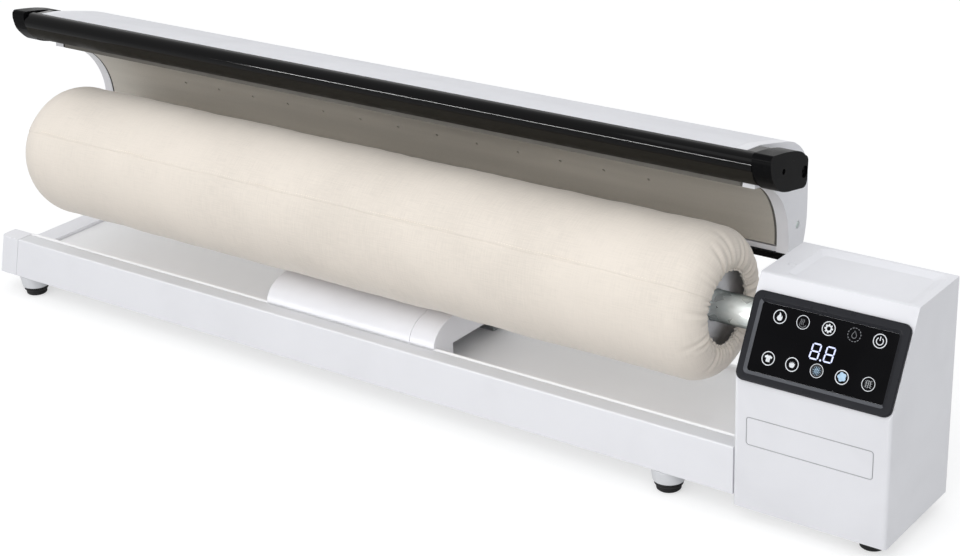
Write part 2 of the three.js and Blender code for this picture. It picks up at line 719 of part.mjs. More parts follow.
function roller(group) {
  const drumLeft = coverLeft + 24;
  const drumRight = coverRight - 14;
  put(group, 'roller_cover', rollerCover(), cotton);
  put(group, 'roller_padding', tubeX(coverInnerR - FIT, drumR + FIT, coverLeft + freeEndRadius + 1,
    coverRight - openEndRadius - 2, 0, 0, 36), felt);
  put(group, 'roller_drum', tubeX(drumR, drumR - drumWall, drumLeft, drumRight, 0, 0, 36), steel);
  put(group, 'drum_disc_left', drumDisc(drumLeft + 16, 3), steel);
  put(group, 'drum_disc_right', drumDisc(drumRight - discThickness - FIT, 0), steel);
  put(group, 'roller_shaft', tubeX(shaftR, shaftR - shaftWall, drumLeft + 12,
    driveGearX + gearWidth + 4.6, 0, 0), zinc);
  put(group, 'drive_gear', gearX(driveGearTeeth, driveModule, -Math.PI / 2 + Math.PI / driveGearTeeth,
    shaftR + FIT, driveGearX, driveGearX + gearWidth, 0, 0), steel);
}

// ---- shoe, drawn about the centre of its plate's arc --------------------------------------
const plateBackR = plateR + plateThickness;
const shoeBack = plateR + 32.6;
const shoeFloor = -12;
const casingTop = plateR + 36.2;
const guardSeam = 15.2; // front faces of the shoe's cover and sides, behind the guard bar
const guardPivot = { y: 37, z: plateR + 11.4 };
const bossReach = guardReach - 1.8; // it stops short of the end piece's outer face
const screwR = 3.3;
const screwY = plateR + 15.6;
const screwZ = 11;

// The outside of the shoe's casing, from above the guard bar, over the back, to the lower lip.
function casingLine() {
  return [
    [guardSeam, casingTop], [plateR - 3.4, casingTop - 12.6], [plateR + 10.6, casingTop - 18.8],
    [plateR + 20.6, casingTop - 26.4], [shoeBack - 5, casingTop - 36], [shoeBack - 1.5, casingTop - 46],
    [shoeBack, casingTop - 66], [shoeBack - 0.5, casingTop - 94], [shoeBack - 5, shoeFloor + 4],
    [shoeBack - 8, shoeFloor], [plateR + 1, shoeFloor],
  ];
}

// The casing's top runs forward as a lip over the back of the guard bar.
const lip = [[guardSeam, plateR + 33.6], [-7.5, plateR + 36], [-7.5, plateR + 38.6]];

function shoeCover() {
  const line = [[guardSeam, plateR + 8.6], ...casingLine(), [plateR + 1, shoeFloor + 4.6]];
  const [start, ...rest] = sheetOutline(line, -shoeWall);
  return prismX(shapeOf([start, ...lip, ...rest]), shoeLeft, shoeRight);
}

// An end wall of the shoe, with the boss that the guard bar's end piece turns on.
function sideCover(x, outwards) {
  const tip = arc(0, 0, plateR, plateTo, plateFrom - 5 * DEG, 22);
  const outline = [
    [guardSeam, plateR + 7.6], [guardSeam - 7.5, plateR + 4.2], ...tip, ...casingLine().reverse(),
    ...[...lip].reverse(),
  ];
  const outer = x + outwards * sideThickness;
  const span = (a, b) => [Math.min(a, b), Math.max(a, b)];
  const plate = prismX(shapeOf(outline), ...span(x, outer));
  const recess = rodX(screwR + FIT, ...span(outer - 2 * outwards, outer + outwards), screwY, screwZ, 16);
  const boss = rodX(guardPivotR, ...span(outer - outwards, outer + outwards * bossReach),
    guardPivot.y, guardPivot.z, 20);
  return join(cut(plate, recess), boss);
}

function heatingPlate() {
  const outline = [
    ...arc(0, 0, plateR, plateFrom, plateTo, 24), ...arc(0, 0, plateBackR, plateTo, plateFrom, 24),
  ];
  const x0 = shoeLeft + sealWidth + FIT;
  const x1 = shoeRight - sealWidth - FIT;
  const plate = prismX(shapeOf(outline), x0, x1);
  const drill = [];
  const middle = (steamHoles - 1) / 2;
  for (let i = -middle; i <= middle; i++) {
    const bore = new THREE.CylinderGeometry(steamHoleR, steamHoleR, 3 * plateThickness, 8);
    drill.push(bore.translate(0, plateR + plateThickness / 2, 0).rotateX(steamAngle)
      .translate((x0 + x1) / 2 + i * steamPitch, 0, 0));
  }
  return cut(plate, ...drill);
}

function plateSeal(x0) {
  const outline = [
    ...arc(0, 0, plateR + 0.2, plateFrom, plateTo, 20),
    ...arc(0, 0, plateBackR, plateTo, plateFrom, 20),
  ];
  return prismX(shapeOf(outline), x0, x0 + sealWidth);
}

// One bent rod behind the plate: out along the lower half, round the left end, back above it.
function heatingElement() {
  const rod = 3.5;
  const reach = plateBackR + FIT + rod + 0.3;
  const [x0, x1] = [shoeLeft + 30, shoeRight - 12];
  const [low, high] = [14 * DEG, 60 * DEG];
  const bend = [];
  for (let i = -1; i <= 9; i++) {
    const turn = (i / 8) * Math.PI;
    const angle = low + ((high - low) * (1 - Math.cos(Math.min(Math.max(turn, 0), Math.PI)))) / 2;
    bend.push(new THREE.Vector3(x0 - 16 * Math.sin(turn), reach * Math.cos(angle), reach * Math.sin(angle)));
  }
  const curve = new THREE.ExtrudeGeometry(circle(rod - 0.2, 8),
    { steps: 20, extrudePath: new THREE.CatmullRomCurve3(bend) });
  const straight = (angle) => rodX(rod, x0, x1, reach * Math.cos(angle), reach * Math.sin(angle), 10);
  return join(curve, straight(low), straight(high));
}

const trimFloor = shoeFloor - 6.5;
const hinge = { y: hingeY - shoeCentre.x, z: hingeZ - shoeCentre.y };

// The arm: a hub on the hinge pin, a web, and a flange under the back of the shoe.
function shoeArm() {
  const flangeTop = shoeFloor - FIT;
  const flange = block(armLeft, armRight, shoeBack - 11, shoeBack + 1, flangeTop - 6, flangeTop);
  const web = shapeOf([
    [hinge.y - 9, hinge.z], [hinge.y + 6, hinge.z], [shoeBack + 1, flangeTop - 3],
    [shoeBack - 11, flangeTop - 3],
  ]);
  const hub = rodX(12, armLeft, armRight, hinge.y, hinge.z);
  const bore = rodX(pinR + FIT, armLeft - 1, armRight + 1, hinge.y, hinge.z);
  const window = block(armLeft + 18, armRight - 18, 0, shoeBack + 40, hinge.z + 24, flangeTop - 18);
  return cut(join(hub, prismX(web, armLeft, armRight), flange), bore, window);
}

// A toothed quadrant on the hinge that the lift motor's pinion drives.
function liftSector() {
  const pitch = (2 * Math.PI) / sectorTeeth;
  const teeth = toothLine(sectorTeeth, liftModule, liftMeshAngle + pitch / 2, -5, 2);
  const body = prismX(shapeOf([...teeth, [0, 0]]), sectorX, sectorX + gearWidth);
  const boss = rodX(13, sectorX, sectorX + gearWidth, 0, 0);
  const bore = rodX(pinR + FIT, sectorX - 1, sectorX + gearWidth + 1, 0, 0);
  return cut(join(body, boss), bore).translate(0, hinge.y, hinge.z);
}

function shoe(group) {
  put(group, 'shoe_cover', shoeCover(), white);
  put(group, 'side_cover_left', sideCover(shoeLeft - FIT, -1), white);
  put(group, 'side_cover_right', sideCover(shoeRight + FIT, 1), white);
  put(group, 'heating_plate', heatingPlate(), plateGrey);
  put(group, 'plate_seal_left', plateSeal(shoeLeft), rubber);
  put(group, 'plate_seal_right', plateSeal(shoeRight - sealWidth), rubber);
  put(group, 'heating_element', heatingElement(), steel);
  put(group, 'lower_trim', block(shoeLeft - 7, shoeRight + 7, plateR - 1.5, plateR + 18,
    trimFloor, shoeFloor - FIT), black);
  put(group, 'shoe_arm', shoeArm(), steel);
  put(group, 'lift_sector', liftSector(), steel);
  const outerLeft = shoeLeft - FIT - sideThickness;
  const outerRight = shoeRight + FIT + sideThickness;
  const screw = (x) => rodX(screwR, x, x + 1.3, screwY, screwZ, 16);
  put(group, 'side_screw_left', screw(outerLeft + 0.4), steel);
  put(group, 'side_screw_right', screw(outerRight - 1.7), steel);
}

// ---- hand guard bar, in the same frame as the shoe ----------------------------------------
const guardSplit = plateR + 25.6;
const barLeft = guardLeft + guardEndWidth + FIT;
const barRight = guardRight - guardEndWidth - FIT;

// The rounded front of the bar and of its ends, walked from the top down.
const guardNose = () => [
  ...arc(-17.2, plateR + 36.9, 4.6, 80 * DEG, 180 * DEG, 6), [-21.6, plateR + 31.6],
];

function guardBar() {
  const back = guardSeam - 2;
  const top = lip[1][0] - 2;
  const outline = [
    [back, guardSplit], [back, plateR + 30], [top, plateR + 32], [top, plateR + 40.4],
    ...guardNose(), [-20.3, guardSplit],
  ];
  return prismX(shapeOf(outline), barLeft, barRight);
}

function guardUnderside() {
  const top = guardSplit - FIT;
  const outline = [
    [-20.2, top], [-17.6, top - 7], [-11.5, top - 13.4], [-4, top - 17.2], [3, top - 18.7],
    [guardSeam - 3.2, top - 16.4], [guardSeam - 2, top - 15], [guardSeam - 2, top],
  ];
  return prismX(shapeOf(outline), barLeft, barRight);
}

function guardEnd(x) {
  const rise = (height) => plateR + height;
  const outline = [
    ...guardNose(), [-19, rise(22)], [-14.6, rise(16)], [-5.3, rise(7.4)], [6.8, rise(3)],
    [16, rise(1.2)], [35, rise(-2.4)], ...arc(36.2, rise(3.4), 5.8, 285 * DEG, 360 * DEG, 3),
    ...arc(36.6, rise(19), 6.6, 0, 70 * DEG, 4), [30, rise(31.2)], [15.2, rise(35.9)],
    [0, rise(39)],
  ];
  const cap = prismX(shapeOf(outline), x, x + guardEndWidth);
  const bore = rodX(guardPivotR + FIT, x - 1, x + guardEndWidth + 1, guardPivot.y, guardPivot.z, 20);
  const outerFace = x < 0 ? x : x + guardEndWidth;
  const recess = rodX(2.6, outerFace - 3, outerFace + 3, 0.5, rise(22.6), 12);
  return cut(cap, bore, recess);
}

function guard(group) {
  put(group, 'guard_bar', guardBar(), black);
  put(group, 'guard_underside', guardUnderside(), darkTrim);
  put(group, 'guard_end_left', guardEnd(guardLeft), black);
  put(group, 'guard_end_right', guardEnd(guardRight - guardEndWidth), black);
}

// ---- assembly -----------------------------------------------------------------------------
base(machine);
feet(machine);
lift(machine);
controls(machine);
rollerDrive(machine);

const rollerGroup = new THREE.Group();
rollerGroup.position.z = rollerAxisZ;
roller(rollerGroup);
machine.add(rollerGroup);

const shoeGroup = new THREE.Group();
shoeGroup.position.set(0, shoeCentre.x, shoeCentre.y);
shoe(shoeGroup);
guard(shoeGroup);
machine.add(shoeGroup);

const group = new THREE.Group();
group.add(machine);
export default group;
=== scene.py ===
"""Looks for a household flatwork ironer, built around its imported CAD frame.

The roller lies along X and the operator stands at -Y. Shapes are drawn in millimetres.
"""

import json
import math
import random
from math import cos, radians, sin

import bmesh
import bpy
import numpy as np
from mathutils import Matrix, Vector


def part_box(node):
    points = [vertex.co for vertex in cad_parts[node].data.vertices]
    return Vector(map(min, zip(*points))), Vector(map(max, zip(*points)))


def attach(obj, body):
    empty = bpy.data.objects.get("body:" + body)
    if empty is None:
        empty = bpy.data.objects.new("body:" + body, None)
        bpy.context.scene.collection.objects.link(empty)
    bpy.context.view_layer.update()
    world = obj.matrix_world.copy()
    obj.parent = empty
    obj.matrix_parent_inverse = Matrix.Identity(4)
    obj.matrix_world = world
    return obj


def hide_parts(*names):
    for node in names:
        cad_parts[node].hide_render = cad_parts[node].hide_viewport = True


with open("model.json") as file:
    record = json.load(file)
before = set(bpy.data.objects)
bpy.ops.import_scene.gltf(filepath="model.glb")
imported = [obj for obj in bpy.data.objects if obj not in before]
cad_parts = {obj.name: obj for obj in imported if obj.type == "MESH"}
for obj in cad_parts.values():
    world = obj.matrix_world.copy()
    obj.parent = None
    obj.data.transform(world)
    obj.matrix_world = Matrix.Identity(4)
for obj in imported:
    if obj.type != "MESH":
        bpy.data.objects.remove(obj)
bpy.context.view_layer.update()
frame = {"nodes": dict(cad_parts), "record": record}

MM = 0.001
TURN = 2 * math.pi

# ---- places that repeat those of part.mjs
ROLLER_Y = -34.8
ROLLER_Z = 163.0
COVER_LENGTH = 830
COVER_R = 67.4
FREE_END_R = 45.0
OPEN_END_R = 26.0
GATHER_R = 32.0
GATHER_DIP = 4.0
SKIN = 3.0
PLATE_R = 69.4
PLATE_BACK_R = 73.4
PLATE_ARC = (-4.5, 84.5)
SIDE = 11.7
FIT = 0.3
SHOE_FLOOR = -12.0
GUARD_SEAM = 15.2
GUARD_SPLIT = 95.0
CONTROL_WIDTH = 140.0
CONTROL_FRONT = -58.0
KNEE_Z = 131.0
LEAN = radians(27.3)
BEZEL = (1.0, 0.8, 139.0, 76.0)
BEZEL_BAND = 8.8
OPEN = radians(15)
HINGE = (124.0, 95.0)


def raised(*points):
    """Points of the shoe's section, with their heights given from the plate's radius."""
    return [(y, PLATE_R + height) for y, height in points]


LIP = raised((GUARD_SEAM, 33.6), (-7.5, 36), (-7.5, 38.6))
PIVOT = (37.0, PLATE_R + 11.4)
SCREW = (PLATE_R + 15.6, 11.0)


def shoe_centre():
    """Centre of the raised plate's arc: the roller's axis turned back about the hinge."""
    y, z = -HINGE[0], ROLLER_Z - HINGE[1]
    turned = (y * cos(OPEN) + z * sin(OPEN), -y * sin(OPEN) + z * cos(OPEN))
    return HINGE[0] + turned[0] + ROLLER_Y, HINGE[1] + turned[1]


def corners(node):
    """The low and the high corner of a CAD node's box, in millimetres."""
    return [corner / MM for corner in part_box(node)]


def span(node):
    """Where a CAD node starts and ends along the roller, in millimetres."""
    low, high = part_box(node)
    return low.x / MM, high.x / MM


SHOE_Y, SHOE_Z = shoe_centre()
COVER_LEFT = span("roller_cover")[0]
COVER_RIGHT = COVER_LEFT + COVER_LENGTH
SHOE_LEFT, SHOE_RIGHT = span("shoe_cover")
CONTROL_X = span("control_housing")[0]

# ---- camera, light and floor
PHOTO_WIDTH = 960
FOCAL_PIXELS = 1970.07
SENSOR = 36.0


def new_object(name, data):
    made = bpy.data.objects.new(name, data)
    bpy.context.scene.collection.objects.link(made)
    return made


def make_camera():
    """The camera that was fitted to the photograph."""
    azimuth, elevation, roll = (radians(a) for a in (37.362, 23.062, -2.257))
    place = Vector((1100.2, -1364.4, 843.9)) * MM
    forward = Vector((-sin(azimuth) * cos(elevation),
                      cos(azimuth) * cos(elevation), -sin(elevation)))
    right = Vector((cos(azimuth), sin(azimuth), 0))
    up = right.cross(forward)
    across = cos(roll) * right + sin(roll) * up
    upright = -sin(roll) * right + cos(roll) * up
    data = bpy.data.cameras.new("camera")
    data.sensor_width = SENSOR
    data.lens = FOCAL_PIXELS / PHOTO_WIDTH * SENSOR
    data.clip_start, data.clip_end = 0.05, 60
    camera = new_object("camera", data)
    turn = Matrix((across, upright, -forward)).transposed()
    camera.matrix_world = Matrix.Translation(place) @ turn.to_4x4()
    bpy.context.scene.camera = camera


def area_light(name, place, target, width, height, power):
    data = bpy.data.lights.new(name, "AREA")
    data.shape = "RECTANGLE"
    data.size, data.size_y, data.energy = width, height, power
    light = new_object(name, data)
    light.location = place
    light.rotation_euler = (Vector(target) - Vector(place)).to_track_quat("-Z", "Y").to_euler()
    return light


class Tree:
    """The shader nodes of a world or a material."""

    def __init__(self, owner, cleared=False):
        owner.use_nodes = True
        self.tree = owner.node_tree
        if cleared:
            self.tree.nodes.clear()

    def feed(self, node, inputs):
        """Links each named input to the socket given for it, or sets it to the value given."""
        for name, value in dict(inputs).items():
            if isinstance(value, bpy.types.NodeSocket):
                self.tree.links.new(value, node.inputs[name])
            else:
                node.inputs[name].default_value = value

    def node(self, kind, inputs=(), **settings):
        made = self.tree.nodes.new("ShaderNode" + kind)
        for name, value in settings.items():
            setattr(made, name, value)
        self.feed(made, inputs)
        return made

    def value(self, kind, inputs=(), **settings):
        """The first output of a new node."""
        return self.node(kind, inputs, **settings).outputs[0]

    def math(self, operation, *values):
        return self.value("Math", enumerate(values), operation=operation)

    def seen_directly(self):
        """1 for camera, mirror and glass rays, 0 for the rays that light the object."""
        ray = self.node("LightPath").outputs
        shown = self.math("MAXIMUM", ray["Is Camera Ray"], ray["Is Glossy Ray"])
        return self.math("MAXIMUM", shown, ray["Is Transmission Ray"])


def make_world(strength):
    """White where it is seen, and a dimmer, slightly cool light on the object."""
    world = bpy.data.worlds.new("studio")
    bpy.context.scene.world = world
    tree = Tree(world, cleared=True)
    light = tree.value("Background", {"Color": (0.97, 0.985, 1.0, 1), "Strength": strength})
    seen = tree.value("Background", {"Color": (1, 1, 1, 1), "Strength": 1})
    mix = tree.value("MixShader", {0: tree.seen_directly(), 1: light, 2: seen})
    tree.node("OutputWorld", {"Surface": mix})


def make_floor(own_white, grey):
    """A pale floor: part of its white is its own for the camera, and the rest takes the shadow."""
    mesh = bpy.data.meshes.new("floor")
    bm = bmesh.new()
    bmesh.ops.create_grid(bm, x_segments=8, y_segments=8, size=14)
    bm.to_mesh(mesh)
    bm.free()
    floor = new_object("floor", mesh)
    floor.location.z = -0.0004
    material = bpy.data.materials.new("floor_paper")
    tree = Tree(material, cleared=True)
    matt = tree.value("BsdfDiffuse", {"Color": (grey, grey, grey, 1)})
    amount = tree.math("MULTIPLY", tree.seen_directly(), own_white)
    glow = tree.value("Emission", {"Color": (1, 1, 1, 1), "Strength": amount})
    tree.node("OutputMaterial", {"Surface": tree.value("AddShader", {0: matt, 1: glow})})
    mesh.materials.append(material)


make_camera()
bpy.context.scene.view_settings.view_transform = "Standard"
make_world(0.77)
make_floor(0.55, 0.56)
area_light("front", (0.6, -2.45, 1.2), (0, 0, 0.15), 2.4, 1.3, 17)
area_light("top", (0.1, -1.5, 1.95), (0, 0, 0.15), 2.4, 1.2, 12)
# A thin strip that only shows as the bright line along the glossy bar.
strip = area_light("strip", (-1.12, -2.0, 0.24), (0, 0, 0.29), 1.25, 0.07, 38)
strip.visible_diffuse = False


# ---- materials
def linear(rgb):
    """A colour written as 0-255 sRGB values, made linear."""
    shares = [value / 255 for value in rgb]
    return [v / 12.92 if v <= 0.04045 else ((v + 0.055) / 1.055) ** 2.4 for v in shares]


def shade(rgb, amount):
    return [value * (1 + amount) for value in rgb]


# Every material by the name asked for, which for thirteen of them is a slot of the record.
MATERIALS = {}


class Surface(Tree):
    """A Principled material whose colour, roughness and bump are driven by its own textures."""

    def __init__(self, name, roughness=0.5, metallic=0.0, specular=0.5, more=()):
        self.material = MATERIALS[name] = bpy.data.materials.new(name)
        super().__init__(self.material)
        self.shader = self.tree.nodes["Principled BSDF"]
        self.feed(self.shader, {"Roughness": roughness, "Metallic": metallic,
                                "Specular IOR Level": specular, **dict(more)})
        self.place = self.node("TexCoord").outputs["Object"]
        self.normal = None

    def stretched(self, scale, where=None):
        return self.value("Mapping", {"Scale": scale, "Vector": where or self.place})

    def noise(self, scale, detail=3.0, where=None, distortion=0.0):
        return self.node("TexNoise", {"Scale": scale, "Detail": detail, "Distortion": distortion,
                                      "Vector": where or self.place}).outputs["Fac"]

    def cells(self, scale, feature="F1", output="Distance"):
        return self.node("TexVoronoi", {"Scale": scale, "Vector": self.place},
                         feature=feature).outputs[output]

    def ranged(self, value, low, high, from_low=0.3, from_high=0.7):
        return self.value("MapRange", {"Value": value, "From Min": from_low, "From Max": from_high,
                                       "To Min": low, "To Max": high})

    def weighed(self, a, share_a, b, share_b):
        return self.math("ADD", self.math("MULTIPLY", a, share_a),
                         self.math("MULTIPLY", b, share_b))

    def colour(self, factor, *stops):
        """Colour along a ramp: stops are (position, sRGB)."""
        node = self.node("ValToRGB", {"Fac": factor})
        elements = node.color_ramp.elements
        while len(elements) < len(stops):
            elements.new(0.5)
        for element, (position, rgb) in zip(elements, stops):
            element.position = position
            element.color = (*linear(rgb), 1)
        self.feed(self.shader, {"Base Color": node.outputs["Color"]})

    def rough(self, value):
        self.feed(self.shader, {"Roughness": value})

    def bump(self, height, distance, strength=1.0):
        """Adds a bump on top of those there are."""
        inputs = {"Strength": strength, "Distance": distance, "Height": height}
        if self.normal is not None:
            inputs["Normal"] = self.normal
        self.normal = self.node("Bump", inputs).outputs["Normal"]
        self.feed(self.shader, {"Normal": self.normal})


def moulded(name, rgb, roughness, specular, spread, grain=0.00002, grain_scale=1300):
    """Moulded plastic: faint flow mottling, fine spark-eroded grain and small changes of gloss."""
    s = Surface(name, roughness, 0.0, specular)
    flow = s.noise(14, 4, distortion=0.6)
    s.colour(flow, (0.25, shade(rgb, -spread)), (0.5, rgb), (0.75, shade(rgb, spread * 0.6)))
    s.rough(s.ranged(s.noise(60, 5), roughness * 0.85, roughness * 1.2))
    s.bump(s.noise(grain_scale, 2), grain)
    s.bump(s.noise(9, 2), grain * 5, 0.5)
    return s.material


def metal(name, dark, light, roughness, scale, stretch=(1, 1, 1), bump=0.00003):
    s = Surface(name, roughness, 1.0)
    where = s.stretched(stretch)
    grain = s.noise(scale, 6, where)
    s.colour(grain, (0.3, dark), (0.7, light))
    s.rough(s.ranged(s.noise(scale * 0.6, 4, where), roughness * 0.75, roughness * 1.35))
    s.bump(grain, bump)
    return s.material


def galvanised(name):
    """Zinc with its crystal spangle and drawn lines, and a painted reflection: dark where it turns
    away, bright along its middle.
    """
    s = Surface(name, 0.24, 0.7)
    flake = s.node("SeparateColor", {0: s.cells(130, output="Color")}).outputs
    drawn = s.noise(160, 5, s.stretched((0.15, 1, 1)))
    # Painted reflection: the facing share darkens the colour towards the tube's edges.
    facing = s.node("LayerWeight", {"Blend": 0.5}).outputs["Facing"]
    tone = s.math("SUBTRACT", s.weighed(flake[0], 0.13, drawn, 0.62),
                  s.ranged(facing, -0.3, 0.35, 0.2, 0.85))
    s.colour(tone, (0.0, (86, 94, 94)), (0.25, (160, 170, 168)), (0.5, (218, 225, 223)),
             (0.8, (240, 244, 242)))
    s.rough(s.ranged(flake[1], 0.22, 0.42, 0, 1))
    s.bump(s.noise(420, 4), 0.00002)
    return s.material


def cotton(name, rgb):
    """Plain-weave calico: crossing threads, slubs, and a soft change of tone between them."""
    s = Surface(name, 0.92, 0.0, 0.25, {"Sheen Weight": 0.3, "Sheen Roughness": 0.4})
    uv = s.value("UVMap", uv_map="cloth")
    axes = s.node("SeparateXYZ", {0: uv}).outputs
    thread = TURN / 0.0011
    warp, weft = (s.math("SINE", s.math("MULTIPLY", axes[i], thread)) for i in (0, 1))
    slub = s.math("ADD", *(s.noise(1, 3, s.stretched(scale, uv))
                           for scale in ((60, 900, 1), (900, 60, 1))))
    tone = s.weighed(s.noise(7, 4), 0.55, slub, 0.225)
    s.colour(tone, (0.34, shade(rgb, -0.05)), (0.5, rgb), (0.66, shade(rgb, 0.025)))
    s.rough(s.ranged(slub, 0.84, 0.97, 0.8, 1.2))
    s.bump(s.math("MULTIPLY", warp, weft), 0.00005, 0.6)
    s.bump(slub, 0.0001, 0.5)
    s.bump(s.noise(38, 4), 0.0004, 0.6)
    return s.material


def felt(name, rgb):
    s = Surface(name, 0.98, 0.0, 0.15, {"Sheen Weight": 0.3})
    fibre = s.noise(900, 6, distortion=2.0)
    s.colour(fibre, (0.3, shade(rgb, -0.12)), (0.7, shade(rgb, 0.05)))
    s.bump(fibre, 0.0003)
    return s.material


def plate_coating(name, rgb):
    """Non-stick coating: fine speckle, faint rubbing along the roller, matt with a low sheen."""
    s = Surface(name, 0.5, 0.15, 0.35)
    speckle = s.noise(1500, 2)
    rub = s.noise(12, 5, s.stretched((0.25, 3, 3)))
    tone = s.weighed(speckle, 0.3, rub, 0.7)
    s.colour(tone, (0.32, shade(rgb, -0.07)), (0.5, rgb), (0.68, shade(rgb, 0.06)))
    s.rough(s.ranged(rub, 0.42, 0.6))
    s.bump(speckle, 0.00003)
    return s.material


def board(name):
    s = Surface(name)
    tracks = s.cells(160, "DISTANCE_TO_EDGE")
    s.colour(tracks, (0.02, (150, 120, 60)), (0.06, (24, 92, 52)), (0.5, (20, 78, 44)))
    s.bump(tracks, 0.0002)
    return s.material


def lit(name, rgb, strength):
    """A printed sign that the panel lights from behind, a little uneven as such prints are."""
    s = Surface(name, 0.4, more={"Emission Color": (*linear(rgb), 1),
                                 "Emission Strength": strength})
    uneven = s.noise(260, 3)
    s.colour(uneven, (0.3, shade(rgb, -0.12)), (0.7, rgb))
    s.bump(uneven, 0.00001)
    return s.material


def black_glass(name):
    s = Surface(name, 0.06, 0.0, 0.06)
    haze = s.noise(22, 4)
    s.colour(haze, (0.3, (3, 3, 5)), (0.7, (7, 7, 10)))
    s.rough(s.ranged(haze, 0.05, 0.13))
    s.bump(s.noise(6, 1), 0.00002)
    return s.material


def clear(name):
    s = Surface(name, 0.18, more={"Transmission Weight": 0.75, "IOR": 1.49})
    s.colour(s.noise(20, 3), (0.3, (196, 216, 224)), (0.7, (224, 236, 240)))
    s.bump(s.noise(40, 3), 0.0001)
    return s.material


WHITE = moulded("white_plastic", (230, 230, 234), 0.36, 0.3, 0.018)
SHOE_WHITE = moulded("white_shoe_plastic", (227, 227, 231), 0.45, 0.08, 0.018)
# Painted light: a lighter copy of the white plastic for the rails, the left end cap and the centre
# housing, so that they look more brightly lit.
BASE_WHITE_PAINTED_LIGHT = moulded("white_base_painted_light", (235, 235, 239), 0.36, 0.3, 0.015)
# A darker grey for the groove of the housing's front line: painted shade in the recess.
GROOVE_PAINTED_SHADE = moulded("groove_painted_shade", (184, 184, 188), 0.5, 0.2, 0.03)
PALE = moulded("pale_grey_plastic", (222, 223, 226), 0.42, 0.3, 0.02)
COTTON = cotton("cotton_cover", (231, 222, 211))
THREAD = moulded("sewing_thread", (246, 238, 226), 0.8, 0.2, 0.05, 0.00008, 2600)
felt("felt_padding", (205, 198, 186))
GLOSS_BLACK = moulded("black_plastic", (7, 7, 8), 0.07, 0.1, 0.12, 0.000003)
END_BLACK = moulded("end_cap_black", (15, 15, 16), 0.3, 0.02, 0.1, 0.00001)
SATIN_BLACK = moulded("satin_black_plastic", (30, 31, 36), 0.3, 0.12, 0.05, 0.00002)
# A lighter grey for the bezel's inner slopes: a painted highlight on its left and lower sides.
BEZEL_SLOPE_HIGHLIGHT = moulded("bezel_slope_painted_highlight", (84, 86, 91), 0.24, 0.3, 0.05, 0.00001)
DARK_TRIM = moulded("dark_trim", (38, 36, 32), 0.5, 0.03, 0.06, 0.00004)
RUBBER = moulded("foot_rubber", (19, 19, 20), 0.72, 0.25, 0.15, 0.0001, 900)
PLATE = plate_coating("ironing_plate", (183, 178, 169))
# A darker copy of the plate's colour for its upper end face under the guard bar: painted shade.
PLATE_EDGE_SHADE = moulded("plate_edge_painted_shade", (112, 109, 103), 0.5, 0.1, 0.06)
SEAL = moulded("seal_rubber", (98, 96, 92), 0.7, 0.1, 0.06)
# Painted light: a lighter copy of the white plastic for the deck tray, lifting the roller's shadow
# on it.
TRAY_PAINTED_LIGHT = moulded("tray_painted_light", (249, 249, 250), 0.4, 0.3, 0.01)
metal("steel", (150, 152, 154), (196, 198, 200), 0.38, 80, (1, 6, 6))
ZINC = galvanised("zinc_steel")
# A lighter copy of the steel for the right drum disc: painted light inside the shaded end of the
# drum.
DISC_PAINTED_LIGHT = metal("pressed_disc_painted_light", (196, 197, 200), (226, 227, 230), 0.5, 50, bump=0.00002)
board("circuit_board")
GLASS = black_glass("black_glass")
clear("clear_plastic")
SIGN = lit("lit_sign", (206, 209, 213), 0.3)
SIGN_DIM = lit("dim_sign", (104, 106, 110), 0.05)
SIGN_BLUE = lit("blue_sign", (160, 190, 214), 0.22)
DIGITS = lit("lit_digits", (206, 213, 246), 0.5)

BODY_OF_NODE = {
    node: body for body, nodes in frame["record"]["behaviour"]["bodies"].items() for node in nodes
}
SLOT_OF_NODE = {part["node"]: part["material_slot"] for part in frame["record"]["subparts"]}


# ---- mesh helpers
def soften(mesh, angle):
    mesh.shade_smooth()
    mesh.set_sharp_from_angle(angle=radians(angle))


def weigh_normals(piece):
    piece.modifiers.new("normals", "WEIGHTED_NORMAL").keep_sharp = True


def finish_mesh(bm, name, material, body, slot, smooth, weighted=True):
    """Turns a bmesh in millimetres into a shown piece that rides on a body."""
    bmesh.ops.recalc_face_normals(bm, faces=bm.faces)
    mesh = bpy.data.meshes.new(name)
    bm.to_mesh(mesh)
    bm.free()
    mesh.transform(Matrix.Scale(MM, 4))
    soften(mesh, smooth)
    mesh.materials.append(material)
    piece = new_object(name, mesh)
    if weighted:
        weigh_normals(piece)
    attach(piece, body)
    return piece


def stand_in(bm, node, material, smooth=40, weighted=True, slot=None):
    """A shown piece that stands for a CAD node, on the node's body."""
    piece = finish_mesh(bm, node + "_shape", material, BODY_OF_NODE[node],
                        slot or SLOT_OF_NODE[node], smooth, weighted)
    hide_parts(node)
    return piece


def round_edges(bm, width, segments=3, angle=30, chosen=None):
    """Rounds the edges that turn by more than an angle, or those of them that are chosen."""
    edges = [e for e in bm.edges
             if len(e.link_faces) == 2 and e.calc_face_angle(0) > radians(angle)
             and (chosen is None or chosen(e))]
    if edges:
        bmesh.ops.bevel(bm, geom=edges, offset=width, offset_type="OFFSET", segments=segments,
                        profile=0.5, affect="EDGES", clamp_overlap=True)


def at_x(x):
    """A test that chooses the edges in the plane at x."""
    return lambda e: all(abs(v.co.x - x) < 0.01 for v in e.verts)


